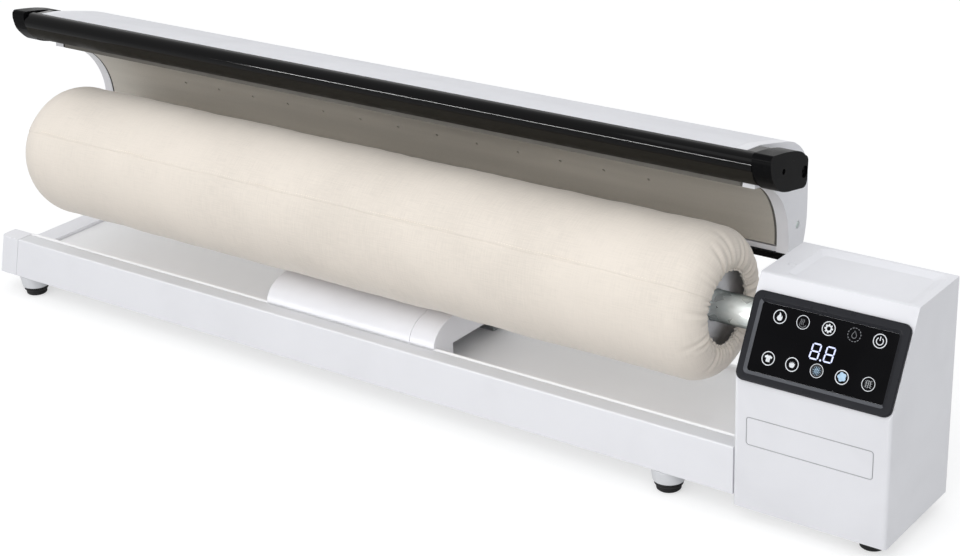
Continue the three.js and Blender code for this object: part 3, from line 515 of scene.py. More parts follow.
def rounded(node, width, material=None, slot=None, chosen=None, angle=30, segments=3, soft=None):
    """A copy of a CAD node with its edges rounded, which stands for it.

    soft is a second rounding: its width and the test that chooses its edges.
    """
    bm = bmesh.new()
    bm.from_mesh(frame["nodes"][node].data)
    bmesh.ops.scale(bm, vec=(1 / MM,) * 3, verts=bm.verts)
    bmesh.ops.remove_doubles(bm, verts=bm.verts, dist=0.002)
    bmesh.ops.dissolve_limit(bm, angle_limit=radians(0.5), verts=bm.verts, edges=bm.edges)
    bmesh.ops.recalc_face_normals(bm, faces=bm.faces)
    if width:
        round_edges(bm, width, segments, angle, chosen)
    if soft:
        round_edges(bm, soft[0], 5, 10, soft[1])
    slot = slot or SLOT_OF_NODE[node]
    return stand_in(bm, node, material or MATERIALS[slot], 35, slot=slot)


def arc(cx, cy, radius, start, stop, steps):
    """Points on an arc between two angles in degrees."""
    angles = [radians(start + (stop - start) * i / steps) for i in range(steps + 1)]
    return [(cx + radius * cos(a), cy + radius * sin(a)) for a in angles]


def circle(cx, cy, radius, steps):
    return arc(cx, cy, radius, 0, 360 * (steps - 1) / steps, steps - 1)


def smooth_line(points, per=6):
    """A Catmull-Rom curve through the points."""
    line = []
    p = np.array([points[0], *points, points[-1]], float)
    t = np.arange(per)[:, None] / per
    for a, b, c, d in zip(p, p[1:], p[2:], p[3:]):
        line += (0.5 * (2 * b + (c - a) * t + (2 * a - 5 * b + 4 * c - d) * t ** 2
                        + (3 * b - a - 3 * c + d) * t ** 3)).tolist()
    return line + [points[-1]]


def offset_line(line, distance):
    """A line moved sideways, to the left of its own direction."""
    p = np.array(line, float)
    along = np.vstack([p[1] - p[0], p[2:] - p[:-2], p[-1] - p[-2]])
    along /= np.linalg.norm(along, axis=1)[:, None]
    return (p + distance * np.stack([-along[:, 1], along[:, 0]], -1)).tolist()


def loft(rings, bm=None, tube=False):
    """A body through rings of as many points each: its ends are filled, or joined to a tube."""
    if bm is None:
        bm = bmesh.new()
    rows = [[bm.verts.new(p) for p in ring] for ring in rings]
    count = len(rows[0])
    for a, b in zip(rows, rows[1:] + rows[:1] if tube else rows[1:]):
        for i in range(count):
            j = (i + 1) % count
            bm.faces.new((a[i], a[j], b[j], b[i]))
    if not tube:
        bm.faces.new(rows[0])
        bm.faces.new(rows[-1])
    return bm


def lathe(profile, place, axis="Z", steps=64, tube=False):
    """A body of revolution: profile is (distance along the axis, radius)."""
    x, y, z = place
    if axis == "X":
        rings = [[(x + along, a, b) for a, b in circle(y, z, r, steps)] for along, r in profile]
    else:
        rings = [[(a, b, z + along) for a, b in circle(x, y, r, steps)] for along, r in profile]
    return loft(rings, tube=tube)


# ---- base, feet and lift
# The base's left end is moved by this much at its top and at its lower edge, so that it leans.
LEAN_TOP, LEAN_BOTTOM = 2.5, -9.5


def lean_left_end(piece, inside_of, bottom, top):
    for vertex in piece.data.vertices:
        x, z = vertex.co.x / MM, vertex.co.z / MM
        if x < inside_of:
            share = (top - z) / (top - bottom)
            vertex.co.x += (LEAN_TOP + (LEAN_BOTTOM - LEAN_TOP) * share) * MM


def make_base():
    rail_end = span("front_rail")[0]
    long_edge = lambda e: abs(e.verts[0].co.x - e.verts[1].co.x) > 300
    seam = lambda e: all(v.co.x < rail_end + 0.5 for v in e.verts)
    # The rails and the left end cap get the lighter copy of the white plastic (painted light), and
    # the deck tray gets the tray's lighter copy (painted light under the roller).
    ends = [rounded("front_rail", 0.7, BASE_WHITE_PAINTED_LIGHT, chosen=lambda e: long_edge(e) or seam(e)),
            rounded("ledge_strip", 0.25), rounded("deck_tray", 0, TRAY_PAINTED_LIGHT),
            rounded("rear_rail", 0.6, BASE_WHITE_PAINTED_LIGHT, chosen=long_edge)]
    rounded("bottom_plate", 0.4)
    low, high = corners("left_end_cap")
    outside = lambda e: all(v.co.z > 46 or v.co.x < low.x + 2 or v.co.y < low.y + 2
                            or v.co.y > high.y - 2 for v in e.verts)
    ends.append(rounded("left_end_cap", 1.0, BASE_WHITE_PAINTED_LIGHT, chosen=outside))
    for piece in ends:
        lean_left_end(piece, rail_end + 14, low.z, high.z)
    for node in frame["nodes"]:
        low, high = corners(node)
        centre = ((low.x + high.x) / 2, (low.y + high.y) / 2, 0)
        if node.startswith("foot_collar_"):
            profile = [(low.z, 0.5), (low.z, 13.4), (low.z + 0.4, 14.2), (low.z + 1.2, 14.6),
                       (high.z - 0.8, 16.3), (high.z - 0.2, 16.5), (high.z, 16.3), (high.z, 0.5)]
            stand_in(lathe(profile, centre), node, PALE, 35)
        elif node.startswith("foot_"):
            profile = [(0, 0.5), (0, 9.2), (0.3, 10), (1.2, 11), (2.2, 11.2), (4.6, 11.2),
                       (5.2, 11.5), (5.7, 12.4), (6.3, 12.9), (high.z - 0.5, 13),
                       (high.z, 12.6), (high.z, 0.5)]
            stand_in(lathe(profile, centre), node, RUBBER, 35)


def make_lift():
    above_rail = lambda e: min(v.co.z for v in e.verts) > 66
    # The centre housing gets the lighter copy of the white plastic: painted light.
    for node in ("centre_housing", "centre_housing_end"):
        rounded(node, 0.5, BASE_WHITE_PAINTED_LIGHT, chosen=above_rail)
    for node in ("hinge_bracket", "hinge_pin", "lift_motor", "lift_pinion", "shoe_arm"):
        rounded(node, 0.5)


# ---- control housing
def on_panel(x, u, w):
    """A point on the sloping panel: x from its left edge, u up the slope, w outwards."""
    return (CONTROL_X + x,
            CONTROL_FRONT + ROLLER_Y + u * sin(LEAN) - w * cos(LEAN),
            KNEE_Z + u * cos(LEAN) + w * sin(LEAN))


def panel_ring(inset, height, radius, steps=8):
    """A rectangle with round corners, this far inside the bezel's outline."""
    x0, u0, x1, u1 = BEZEL
    near = inset + radius
    middles = [(x1 - near, u1 - near, 0), (x0 + near, u1 - near, 90),
               (x0 + near, u0 + near, 180), (x1 - near, u0 + near, 270)]
    return [on_panel(x, u, height) for cx, cu, turn in middles
            for x, u in arc(cx, cu, radius, turn, turn + 90, steps)]


def make_bezel():
    """A frame round the glass: rolled outside, a flat face, and a slope that falls to the glass."""
    band = BEZEL_BAND
    section = [(0, 0.3, 7), (0, 2.4, 7), (0.15, 2.95, 6.9), (0.55, 3.4, 6.6), (1.2, 3.6, 6.1),
               (band - 3.0, 3.6, 4.2), (band - 2.6, 3.5, 3.9), (band - 2.3, 3.2, 3.7),
               (band - 0.5, 2.2, 2.7), (band, 1.9, 2.5), (band, 0.3, 2.5)]
    bm = loft([panel_ring(*entry) for entry in section], tube=True)
    piece = stand_in(bm, "panel_bezel", SATIN_BLACK, 50)

    # Painted highlight: the left and the lower slope get a lighter grey, where they catch the
    # light.
    piece.data.materials.append(BEZEL_SLOPE_HIGHLIGHT)
    origin, up, out = (Vector(on_panel(*p)) for p in ((0, 0, 0), (0, 1, 0), (0, 0, 1)))
    up, out = up - origin, out - origin
    x0, u0, x1, u1 = BEZEL
    for face in piece.data.polygons:
        place = face.center / MM - origin
        x, u = place.x, place.dot(up)
        insets = (x - x0, u - u0, x1 - x, u1 - u)
        slope = 1.9 < place.dot(out) < 3.4 and 0.2 < face.normal.dot(out) < 0.97
        if slope and min(insets) > band - 2.7 and min(insets) in insets[:2]:
            face.material_index = 1


def make_glass():
    inset = BEZEL_BAND + FIT
    section = [(inset, 0.3, 2.2), (inset, 1.55, 2.2), (inset + 0.1, 1.72, 2.15),
               (inset + 0.3, 1.8, 2.0)]
    stand_in(loft([panel_ring(*entry) for entry in section]), "touch_glass", GLASS)


# The signs start just inside the glass and stand just proud of it.
SIGN_BASE = 1.79
SIGN_TOP = 1.87


class Sign:
    """Flat shapes printed on the panel, gathered in one mesh."""

    def __init__(self):
        self.bm = bmesh.new()

    def fill(self, outline):
        loft([[on_panel(x, u, w) for x, u in outline] for w in (SIGN_BASE, SIGN_TOP)], self.bm)

    def band(self, inner, outer, closed=True):
        """A flat band between two lines of the same number of points."""
        lines = [[on_panel(x, u, w) for x, u in line]
                 for line, w in ((inner, SIGN_BASE), (outer, SIGN_BASE),
                                 (outer, SIGN_TOP), (inner, SIGN_TOP))]
        loft(lines if closed else list(zip(*lines)), self.bm, tube=closed)

    def ring(self, x, u, radius, width, steps=48):
        self.band(circle(x, u, radius - width / 2, steps), circle(x, u, radius + width / 2, steps))

    def arc_line(self, x, u, radius, start, stop, width, steps=16):
        self.band(arc(x, u, radius - width / 2, start, stop, steps),
                  arc(x, u, radius + width / 2, start, stop, steps), closed=False)

    def line(self, points, width):
        self.band(offset_line(points, -width / 2), offset_line(points, width / 2), closed=False)

    def closed_line(self, points, width):
        centre = np.mean(points, axis=0)
        grown = lambda d: [tuple(p + (p - centre) / np.linalg.norm(p - centre) * d)
                           for p in np.array(points, float)]
        self.band(grown(-width / 2), grown(width / 2))

    def done(self, name, material):
        finish_mesh(self.bm, name, material, "chassis", "black_glass", 35, weighted=False)


def placed(points, x, u, size=1.0):
    return [(x + a * size, u + b * size) for a, b in points]


def polar(points):
    """Points given as (turns, radius)."""
    return [(r * cos(TURN * t), r * sin(TURN * t)) for t, r in points]


FLAME = [(-0.2, -3.2), (1.3, -2.8), (2.2, -1.5), (2.2, 0), (1.6, 1.3), (1.3, 0.3), (0.8, -0.3),
         (0.9, 1.2), (0.4, 2.5), (-0.9, 3.6), (-0.6, 2.2), (-1.2, 1), (-2.1, -0.1), (-2.3, -1.4),
         (-1.5, -2.7)]
WISP = [(-2.1, -2.2), (-2.5, -0.6), (-1.7, 0.8), (-2.1, 2.5)]
COG = [((i + share) / 8, radius) for i in range(8)
       for share, radius in ((-0.32, 2.75), (-0.2, 3.6), (0.2, 3.6), (0.32, 2.75))]
DROP = [(0, 3.2), (0.9, 1.6), (1.8, 0.1), (2, -1.1), (1.4, -2.3), (0, -2.9), (-1.4, -2.3),
        (-2, -1.1), (-1.8, 0.1), (-0.9, 1.6)]
SHIRT = [(-1, 3), (-0.4, 2.4), (0.4, 2.4), (1, 3), (3.6, 1.6), (3, 0.1), (1.9, 0.6), (1.8, -3),
         (-1.8, -3), (-1.9, 0.6), (-3, 0.1), (-3.6, 1.6)]
BOWL = [(-2.6, 1), (-1.6, 0.4), (-1.4, 2.2), (-0.5, 0.6), (0, 2.4), (0.5, 0.6), (1.4, 2.2),
        (1.6, 0.4), (2.6, 1), (2.1, -1.6), (1.2, -2.6), (-1.2, -2.6), (-2.1, -1.6)]
PUFF = [(i / 48, 3.0 + 0.9 * abs(sin(5 * TURN * i / 96))) for i in range(48)]


def make_signs():
    top, low, radius = 58.0, 23.0, 5.5
    flame, steam, cog, water, power = 27.2, 48.0, 70.8, 93.2, 115.2
    shirt, bowl, yarn, boll, linen = 26.0, 47.5, 69.5, 91.6, 114.5
    bright, dim, blue = Sign(), Sign(), Sign()
    for x, u in ((flame, top), (cog, top), (power, top), (shirt, low), (bowl, low), (boll, low)):
        bright.ring(x, u, radius, 0.7)
    for x, u in ((steam, top), (yarn, low), (linen, low)):
        bright.ring(x, u, radius, 0.5)
    bright.fill(placed(FLAME, flame, top, 1.05))
    hole = polar([(turns, 1.7) for turns, _ in COG])
    bright.band(placed(hole, cog, top), placed(polar(COG), cog, top, 1.05))
    bright.arc_line(power, top - 0.2, 2.9, 125, 415, 0.75, 24)
    bright.line([(power, top + 0.2), (power, top + 3.6)], 0.8)
    bright.fill(placed(SHIRT, shirt, low, 0.95))
    bright.fill(placed(BOWL, bowl, low))
    for i in range(3):
        dim.line(placed(WISP, steam + 1.4 * i, top), 0.5)
    dim.arc_line(steam, top - 0.8, 3.2, 200, 340, 0.5)
    for i in range(14):
        dim.arc_line(water, top, radius, 360 * i / 14, 360 * i / 14 + 15, 0.6, 3)
    dim.closed_line(placed(DROP, water, top), 0.5)
    dim.ring(yarn, low, 4.1, 0.3)
    for turn in (20, 80, 140):
        c, s = cos(radians(turn)), sin(radians(turn))
        for shift in (-1.3, 0, 1.3):
            half = math.sqrt(3.6 ** 2 - shift ** 2)
            ends = [(end * c - shift * s, end * s + shift * c) for end in (-half, half)]
            blue.line(placed(ends, yarn, low), 0.22)
    blue.fill(placed(polar(PUFF), boll, low + 0.3))
    for i in range(4):
        wave = [(-3.1 + 0.62 * k, -2.5 + 1.65 * i + 0.5 * sin(k * 1.1 + i))
                for k in range(11)]
        dim.line(placed(wave, linen, low), 0.5)
    for shift in (-2.0, 0, 2.0):
        bright.line([(linen + shift, low - 3), (linen + shift * 0.8, low + 3)], 0.25)
    bright.done("sign_lit", SIGN)
    dim.done("sign_dim", SIGN_DIM)
    blue.done("sign_blue", SIGN_BLUE)


def make_digits():
    """Two seven-segment eights and a point, each bar with pointed ends."""
    digits = Sign()
    half_w, half_h, gap, tip = 3.5, 3.05, 0.22, 0.6
    lean = math.tan(radians(5))

    def bar(length):
        return [(tip - length, tip), (length - tip, tip), (length, 0),
                (length - tip, -tip), (tip - length, -tip), (-length, 0)]

    bars = [placed(bar(half_w - gap), 0, level) for level in (-2 * half_h, 0, 2 * half_h)]
    bars += [[(side + b, level + a) for a, b in bar(half_h - gap)]
             for side in (-half_w, half_w) for level in (-half_h, half_h)]
    for middle in (64.4, 76.8):
        for outline in bars:
            digits.fill([(middle + a + b * lean, 37.8 + b) for a, b in outline])
    digits.fill(arc(70.3, 31.8, 0.8, 0, 345, 23))
    digits.done("digit_display", DIGITS)


def make_housing():
    """The control housing, with a soft dish in its top and a moulded line on its front, its groove
    in painted shade.
    """
    front = CONTROL_FRONT + ROLLER_Y
    left, right = CONTROL_X, CONTROL_X + CONTROL_WIDTH
    low, high = corners("control_housing")

    def by_groove(v):
        return 70 < v.z < 104 and left + 8 < v.x < right - 8

    def in_dish(e):
        return all(v.co.z > high.z - 4 and left + 17 < v.co.x < right - 3
                   and front + 44 < v.co.y < high.y - 2.5 for v in e.verts)

    def outer_edge(e):
        ends = [v.co for v in e.verts]
        groove = all(v.y < front + 1 and by_groove(v) for v in ends)
        inside = all(left + 2.8 < v.x < right - 2.8 and v.z < 207 and front + 2.8 < v.y < 22
                     for v in ends)
        small = e.calc_length() < 1.2
        return not (groove or inside or small or in_dish(e))

    housing = rounded("control_housing", 1.4, chosen=outer_edge, angle=14, segments=4,
                      soft=(2.2, in_dish))
    # Painted shade: the faces inside the groove on the front get the darker grey.
    housing.data.materials.append(GROOVE_PAINTED_SHADE)
    for face in housing.data.polygons:
        place = face.center / MM
        if front + 0.1 < place.y < front + 1.5 and by_groove(place):
            face.material_index = 1


def make_controls():
    make_housing()
    make_bezel()
    make_glass()
    make_signs()
    make_digits()
    rounded("control_base_plate", 0.4)
    rounded("top_plug", 0.3)
    rounded("tank_bung", 0.8)
    rounded("power_inlet", 0.4, SATIN_BLACK, "black_plastic")


# ---- roller
SEAM_ANGLE = radians(31.6)
COVER_SEED, STITCH_SEED = 11, 5
STITCH_PITCH = 3.0
CREASES = 34
# The least and the greatest reach, depth and width of the two kinds of gather.
LONG_CREASE = ((24, 46), (1.1, 2.0), (1.0, 1.7))
SHORT_CREASE = ((8, 17), (0.9, 1.7), (0.6, 1.0))


def value_noise(rng, count, cycles):
    """A smooth closed random line: count samples of a few summed waves, from -1 to 1."""
    t = np.linspace(0, TURN, count, endpoint=False)
    total = sum(rng.uniform(0.5, 1) * np.sin(k * t + rng.uniform(0, TURN)) for k in cycles)
    return total / np.abs(total).max()


def cover_rows():
    """The cover's section from pole to pole: x, radius, the normal's x and radius, frill share.

    The normal is 0 where the cloth isn't shaped along it: at the frill and inside.
    """
    rows = []

    def bend(x, r, radius, degrees, outside):
        for a in np.radians(degrees):
            c, s = cos(a), sin(a)
            rows.append((x + radius * c, r + radius * s, c * outside, s * outside, 0))

    start, stop = COVER_LEFT + FREE_END_R, COVER_RIGHT - OPEN_END_R
    face_r, open_r = COVER_R - FREE_END_R, COVER_R - OPEN_END_R
    for r in np.linspace(0.4, face_r, 9)[:-1]:
        rows.append((COVER_LEFT + 0.48 * (r / face_r) ** 2, r, -1, 0, 0))
    bend(start, face_r, FREE_END_R, np.linspace(180, 90, 19), 1)
    for x in np.arange(start + 3.6, stop - 1, 3.6):
        rows.append((x, COVER_R, 0, 1, 0))
    bend(stop, open_r, OPEN_END_R, np.linspace(90, 0, 25), 1)
    for r in np.linspace(open_r, GATHER_R + 3.2, 8)[1:]:
        share = (open_r - r) / (open_r - GATHER_R)
        rows.append((COVER_RIGHT - GATHER_DIP * share ** 1.6, r, 1, 0, 0))
    hem = COVER_RIGHT - GATHER_DIP
    for x, r, share in ((0.5, 34.6, 0.5), (1.0, 34.0, 0.8), (1.1, 33.2, 1.0), (0.7, 32.8, 1.0),
                        (-0.3, 33.2, 0.8), (-1.4, 33.8, 0.4), (-2.6, 34.2, 0.1)):
        rows.append((hem + x, r, 0, 0, share))
    rows.append((hem - SKIN, 35.4, 0, 0, 0))
    bend(stop, open_r, OPEN_END_R - SKIN, np.linspace(0, 90, 7), 0)
    for x in np.linspace(stop - 60, start + 60, 6):
        rows.append((x, COVER_R - SKIN, 0, 0, 0))
    bend(start, face_r, FREE_END_R - SKIN, np.linspace(90, 180, 7), 0)
    rows.append((COVER_LEFT + SKIN, 0.4, 0, 0, 0))
    return np.array(rows)


def cover_angles():
    """Angles round the roller, close together at the seam. 0 is level towards the operator."""
    angles = []
    a = SEAM_ANGLE - math.pi
    while a < SEAM_ANGLE + math.pi - 1e-6:
        angles.append(a)
        a += radians(0.25 if abs(a - SEAM_ANGLE) < radians(5.5) else 0.9)
    return np.array(angles)


def apart(a, b):
    """The angle from b to a, between -pi and pi."""
    return np.angle(np.exp(1j * (a - b)))


def seam_wobble(x):
    return 0.3 * np.sin(x / 23) + 0.2 * np.sin(x / 9.1 + 1)


def crease_list(rng):
    """The gathers at the drawn end: (angle, reach in mm, depth, width, lean)."""
    creases = []
    for i in range(CREASES):
        angle = TURN * (i + rng.uniform(-0.36, 0.36)) / CREASES
        limits = LONG_CREASE if rng.random() < 0.45 else SHORT_CREASE
        reach, depth, width = (rng.uniform(*pair) for pair in limits)
        creases.append((angle, reach, depth, width, rng.uniform(-0.12, 0.12)))
    return creases


def scallops(creases, angles, rng):
    """The hem between neighbouring gathers bellies inwards: 0 at a gather, 1 between two."""
    places = sorted(c[0] % TURN for c in creases)
    size = rng.uniform(0.45, 1.0, len(places))
    bump = np.zeros(len(angles))
    for i, angle in enumerate(angles % TURN):
        after = next((k for k, p in enumerate(places) if p > angle), 0)
        low, high = places[after - 1], places[after]
        share = ((angle - low) % TURN) / ((high - low) % TURN)
        bump[i] = size[after] * sin(math.pi * min(max(share, 0), 1)) ** 0.6
    return bump


def make_cover():
    rng = np.random.default_rng(COVER_SEED)
    rows = cover_rows()
    angles = cover_angles()
    count = len(angles)
    along = np.concatenate([[0], np.cumsum(np.hypot(*np.diff(rows[:, :2], axis=0).T))])
    x, radius, normal_x, normal_r, frill = rows.T[:, :, None]
    outside = (normal_x != 0) | (normal_r != 0)
    hem = np.flatnonzero(outside)[-1]
    from_hem = (along[hem] - along)[:, None]
    turn = angles[None, :]
    arc_r = np.maximum(radius, 12)
    lift = np.zeros((len(rows), count))

    # Soft waves where the cloth lies loose over the padding.
    for _ in range(26):
        wave = TURN / rng.uniform(45, 210)
        around = rng.integers(1, 6)
        size = rng.uniform(0.04, 0.13)
        lift += size * np.sin(wave * x + rng.uniform(0, TURN)
                              + around * turn + rng.uniform(0, TURN))
    for _ in range(14):
        wave = TURN / rng.uniform(17, 34)
        place, width = rng.uniform(0, TURN), rng.uniform(0.25, 0.6)
        gap = apart(turn, place)
        lift += 0.09 * np.sin(wave * x + 3 * gap + rng.uniform(0, TURN)) \
            * np.exp(-(gap / width) ** 2)

    # The lengthwise seam: a lap with a stitched valley beside it and puckers along it.
    seam = apart(turn, SEAM_ANGLE) * arc_r + seam_wobble(x)
    fade = np.clip((radius - 3) / 12, 0, 1) * np.clip((from_hem + 3) / 9, 0, 1)
    lap = 0.55 / (1 + np.exp(-seam / 0.18)) * np.exp(-np.maximum(seam, 0) / 7)
    valley = -0.18 * np.exp(-(seam / 0.5) ** 2)
    pucker = np.sin(x / 2.6 + 2 * np.sin(x / 31)) ** 2
    lift += fade * (lap + valley * (0.75 + 0.5 * pucker)
                    - 0.28 * pucker * np.exp(-(seam / 3.2) ** 2))

    # Gathers that the drawstring pulls in, and the swell behind them.
    creases = crease_list(rng)
    for place, reach, depth, width, lean in creases:
        gap = apart(turn, place + lean * from_hem / 40) * arc_r
        spread = width + 0.05 * np.maximum(from_hem, 0)
        left = np.clip(1 - from_hem / reach, 0, 1) ** 0.8
        lift -= depth * left * np.exp(-(gap / spread) ** 2)
        lift += 0.35 * depth * left * np.exp(-(np.abs(gap) - 2.2 * spread) ** 2 / spread ** 2)
    lift += 0.8 * np.clip(1 - np.abs(from_hem - 14) / 22, 0, 1)
    lift *= outside

    # The ruffled edge of the cloth round the opening.
    belly = scallops(creases, angles, rng)
    edge = value_noise(rng, count, (17, 29, 43)) + 0.4 * value_noise(rng, count, (61, 83, 97))
    px = x + normal_x * lift + (frill > 0) * (
        (1 - frill) * lift[hem] + frill * (1.5 * belly - 0.8 + 0.35 * edge))
    pr = radius + normal_r * lift + frill * (0.9 - 2.4 * belly + 0.3 * edge)

    places = np.dstack([px, ROLLER_Y - pr * np.cos(turn), ROLLER_Z + pr * np.sin(turn)])
    poles = [(end, ROLLER_Y, ROLLER_Z) for end in (COVER_LEFT, COVER_LEFT + SKIN)]
    verts = np.vstack([places.reshape(-1, 3), poles])
    this, after = np.arange(count), np.roll(np.arange(count), -1)
    start = count * np.arange(len(rows) - 1)[:, None]
    quads = np.stack([start + this, start + after, start + count + after, start + count + this], -1)
    first, last, end = len(verts) - 2, len(verts) - 1, count * (len(rows) - 1)
    faces = quads.reshape(-1, 4).tolist()
    for j, k in zip(this.tolist(), after.tolist()):
        faces += [(first, k, j), (last, end + j, end + k)]
    sheet = bpy.data.meshes.new("cloth_sheet")
    sheet.from_pydata(verts.tolist(), [], faces)

    u_of = np.append(np.repeat(along, count), [0, along[-1]]) * MM
    v_of = np.append(np.tile(angles * COVER_R, len(rows)), [0, 0]) * MM
    index = np.empty(len(sheet.loops), int)
    sheet.loops.foreach_get("vertex_index", index)
    uv = np.stack([u_of[index], v_of[index]], -1).astype(np.float32)
    sheet.uv_layers.new(name="cloth").data.foreach_set("uv", uv.ravel())

    bm = bmesh.new()
    bm.from_mesh(sheet)
    bpy.data.meshes.remove(sheet)
    piece = finish_mesh(bm, "roller_cover_cloth", COTTON, "roller", "cotton_cover", 180,
                        weighted=False)
    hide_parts("roller_cover")


def make_stitches():
    """A row of small lockstitches beside the seam, each a short raised thread."""
    rng = random.Random(STITCH_SEED)
    bm = bmesh.new()
    x = COVER_LEFT + FREE_END_R
    while x < COVER_RIGHT - OPEN_END_R - 4:
        angle = SEAM_ANGLE + (2.3 - seam_wobble(x)) / COVER_R
        length = 2.3 + rng.uniform(-0.15, 0.15)
        rings = []
        for share, size in ((0, 0.06), (0.15, 0.2), (0.5, 0.26), (0.85, 0.2), (1, 0.06)):
            sunk = COVER_R + 0.42 - 0.3 * (2 * share - 1) ** 2
            ring = []
            for a in (TURN * k / 6 for k in range(6)):
                r = sunk + size * cos(a)
                t = angle + size * 1.1 * sin(a) / COVER_R
                ring.append((x + share * length, ROLLER_Y - r * cos(t),
                             ROLLER_Z + r * sin(t)))
            rings.append(ring)
        loft(rings, bm)
        x += STITCH_PITCH
    finish_mesh(bm, "seam_stitching", THREAD, "roller", "cotton_cover", 80, weighted=False)


def make_roller():
    make_cover()
    make_stitches()
    left, right = span("roller_shaft")
    bore, outside, chamfer = 10.8, 13.8, 0.4
    profile = [(left, bore), (left, outside - chamfer), (left + chamfer, outside),
               (right - chamfer, outside), (right, outside - chamfer), (right, bore)]
    bm = lathe(profile, (0, ROLLER_Y, ROLLER_Z), "X", 96, tube=True)
    stand_in(bm, "roller_shaft", ZINC)
    # The right disc, seen through the opening, gets the lighter copy of the steel: painted light.
    rounded("drum_disc_right", 0.4, DISC_PAINTED_LIGHT)
    rounded("drum_disc_left", 0.4)
    rounded("roller_drum", 0)


# ---- shoe and guard bar: sections are (Y, Z) about the axis of the plate
CASING = [(GUARD_SEAM, 105.6), (66, 93), (80, 86.8), (90, 79.2), (97, 69.6), (100.5, 59.6),
          (102, 39.6), (101.5, 11.6), (97, SHOE_FLOOR + 4), (94, SHOE_FLOOR)]
WALL = 2.4


def casing_line():
    return smooth_line(CASING) + [(PLATE_R + 1, SHOE_FLOOR)]


def plate_section(inner, outer, steps):
    return arc(0, 0, inner, *PLATE_ARC, steps) + arc(0, 0, outer, *PLATE_ARC[::-1], steps)


def on_shoe(x, y, z):
    return x, SHOE_Y + y, SHOE_Z + z


def shoe_prism(outline, x0, x1, bm=None):
    """A section drawn out along X."""
    return loft([[on_shoe(x, *point) for point in outline] for x in (x0, x1)], bm)


def drill(piece, holes, smooth=None):
    """Cuts round holes in a piece: each is (middle, direction, radius, depth) in millimetres."""
    bm = bmesh.new()
    for middle, direction, radius, depth in holes:
        made = bmesh.ops.create_cone(bm, cap_ends=True, segments=40 if radius > 2 else 16,
                                     radius1=radius, radius2=radius, depth=depth)
        turn = Vector(direction).to_track_quat("Z", "Y").to_matrix().to_4x4()
        bmesh.ops.transform(bm, matrix=Matrix.Scale(MM, 4) @ Matrix.Translation(middle) @ turn,
                            verts=made["verts"])
    mesh = bpy.data.meshes.new("drill")
    bm.to_mesh(mesh)
    bm.free()
    tool = new_object("drill", mesh)
    weighted = "normals" in piece.modifiers
    piece.modifiers.clear()
    cut = piece.modifiers.new("cut", "BOOLEAN")
    cut.operation, cut.solver, cut.object = "DIFFERENCE", "EXACT", tool
    bpy.context.view_layer.update()
    result = bpy.data.meshes.new_from_object(piece.evaluated_get(
        bpy.context.evaluated_depsgraph_get()))
    piece.modifiers.clear()
    piece.data = result
    bpy.data.objects.remove(tool)
    if smooth:
        soften(result, smooth)
    if weighted:
        weigh_normals(piece)


def true_normals(mesh):
    """Gives the two curved faces of the plate the normals of a true cylinder."""
    def outwards(place):
        return Vector((0, place.y - SHOE_Y * MM, place.z - SHOE_Z * MM)).normalized()

    mesh.shade_smooth()
    normals = [None] * len(mesh.loops)
    for face in mesh.polygons:
        facing = face.normal.dot(outwards(face.center))
        for loop in face.loop_indices:
            corner = mesh.vertices[mesh.loops[loop].vertex_index].co
            curved = outwards(corner) * math.copysign(1, facing)
            normals[loop] = tuple(curved if abs(facing) > 0.98 else face.normal)
    mesh.normals_split_custom_set(normals)


def make_side_cover(name, inner, outwards):
    """An end of the shoe, with the boss that the guard bar turns on and a sunk screw."""
    outer = inner + outwards * SIDE
    outline = raised((GUARD_SEAM, 7.6), (GUARD_SEAM - 7.5, 4.2)) \
        + arc(0, 0, PLATE_R, PLATE_ARC[1], -9.5, 60) + casing_line()[::-1] + LIP[::-1]
    bm = shoe_prism(outline, inner, outer)
    round_edges(bm, 1.6, 4, 40, at_x(outer))
    piece = stand_in(bm, name, WHITE)
    drill(piece, [(on_shoe(outer, *SCREW), (1, 0, 0), 3.6, 8)], 40)
    tip = outer + outwards * 28.2
    profile = [(outer - 2 * outwards, 5.0), (tip - 0.6 * outwards, 5.0), (tip, 4.4), (tip, 1.6),
               (tip - 0.8 * outwards, 1.2)]
    boss = lathe(profile, on_shoe(0, *PIVOT), "X", 40)
    finish_mesh(boss, name + "_boss", END_BLACK, "shoe", "black_plastic", 50)


def make_plate():
    """The heated plate: a smooth cylinder inside, with its steam holes drilled through."""
    x0, x1 = SHOE_LEFT + 2.0, SHOE_RIGHT - 2.0
    bm = shoe_prism(plate_section(PLATE_R, PLATE_BACK_R, 120), x0, x1)
    piece = stand_in(bm, "heating_plate", PLATE, weighted=False)
    a = radians(30)
    out = Vector((0, cos(a), sin(a)))
    middle = Vector(((x0 + x1) / 2, SHOE_Y, SHOE_Z)) + out * (PLATE_R + 2)
    drill(piece, [(middle + Vector((48 * i, 0, 0)), out, 1.5, 14) for i in range(-6, 7)])
    true_normals(piece.data)
    # Painted shade: the upper end face, which faces the guard bar's underside, gets the darker
    # copy.
    piece.data.materials.append(PLATE_EDGE_SHADE)
    for face in piece.data.polygons:
        place = face.center / MM
        angle = math.degrees(math.atan2(place.z - SHOE_Z, place.y - SHOE_Y))
        if angle > PLATE_ARC[1] - 0.05:
            face.material_index = 1


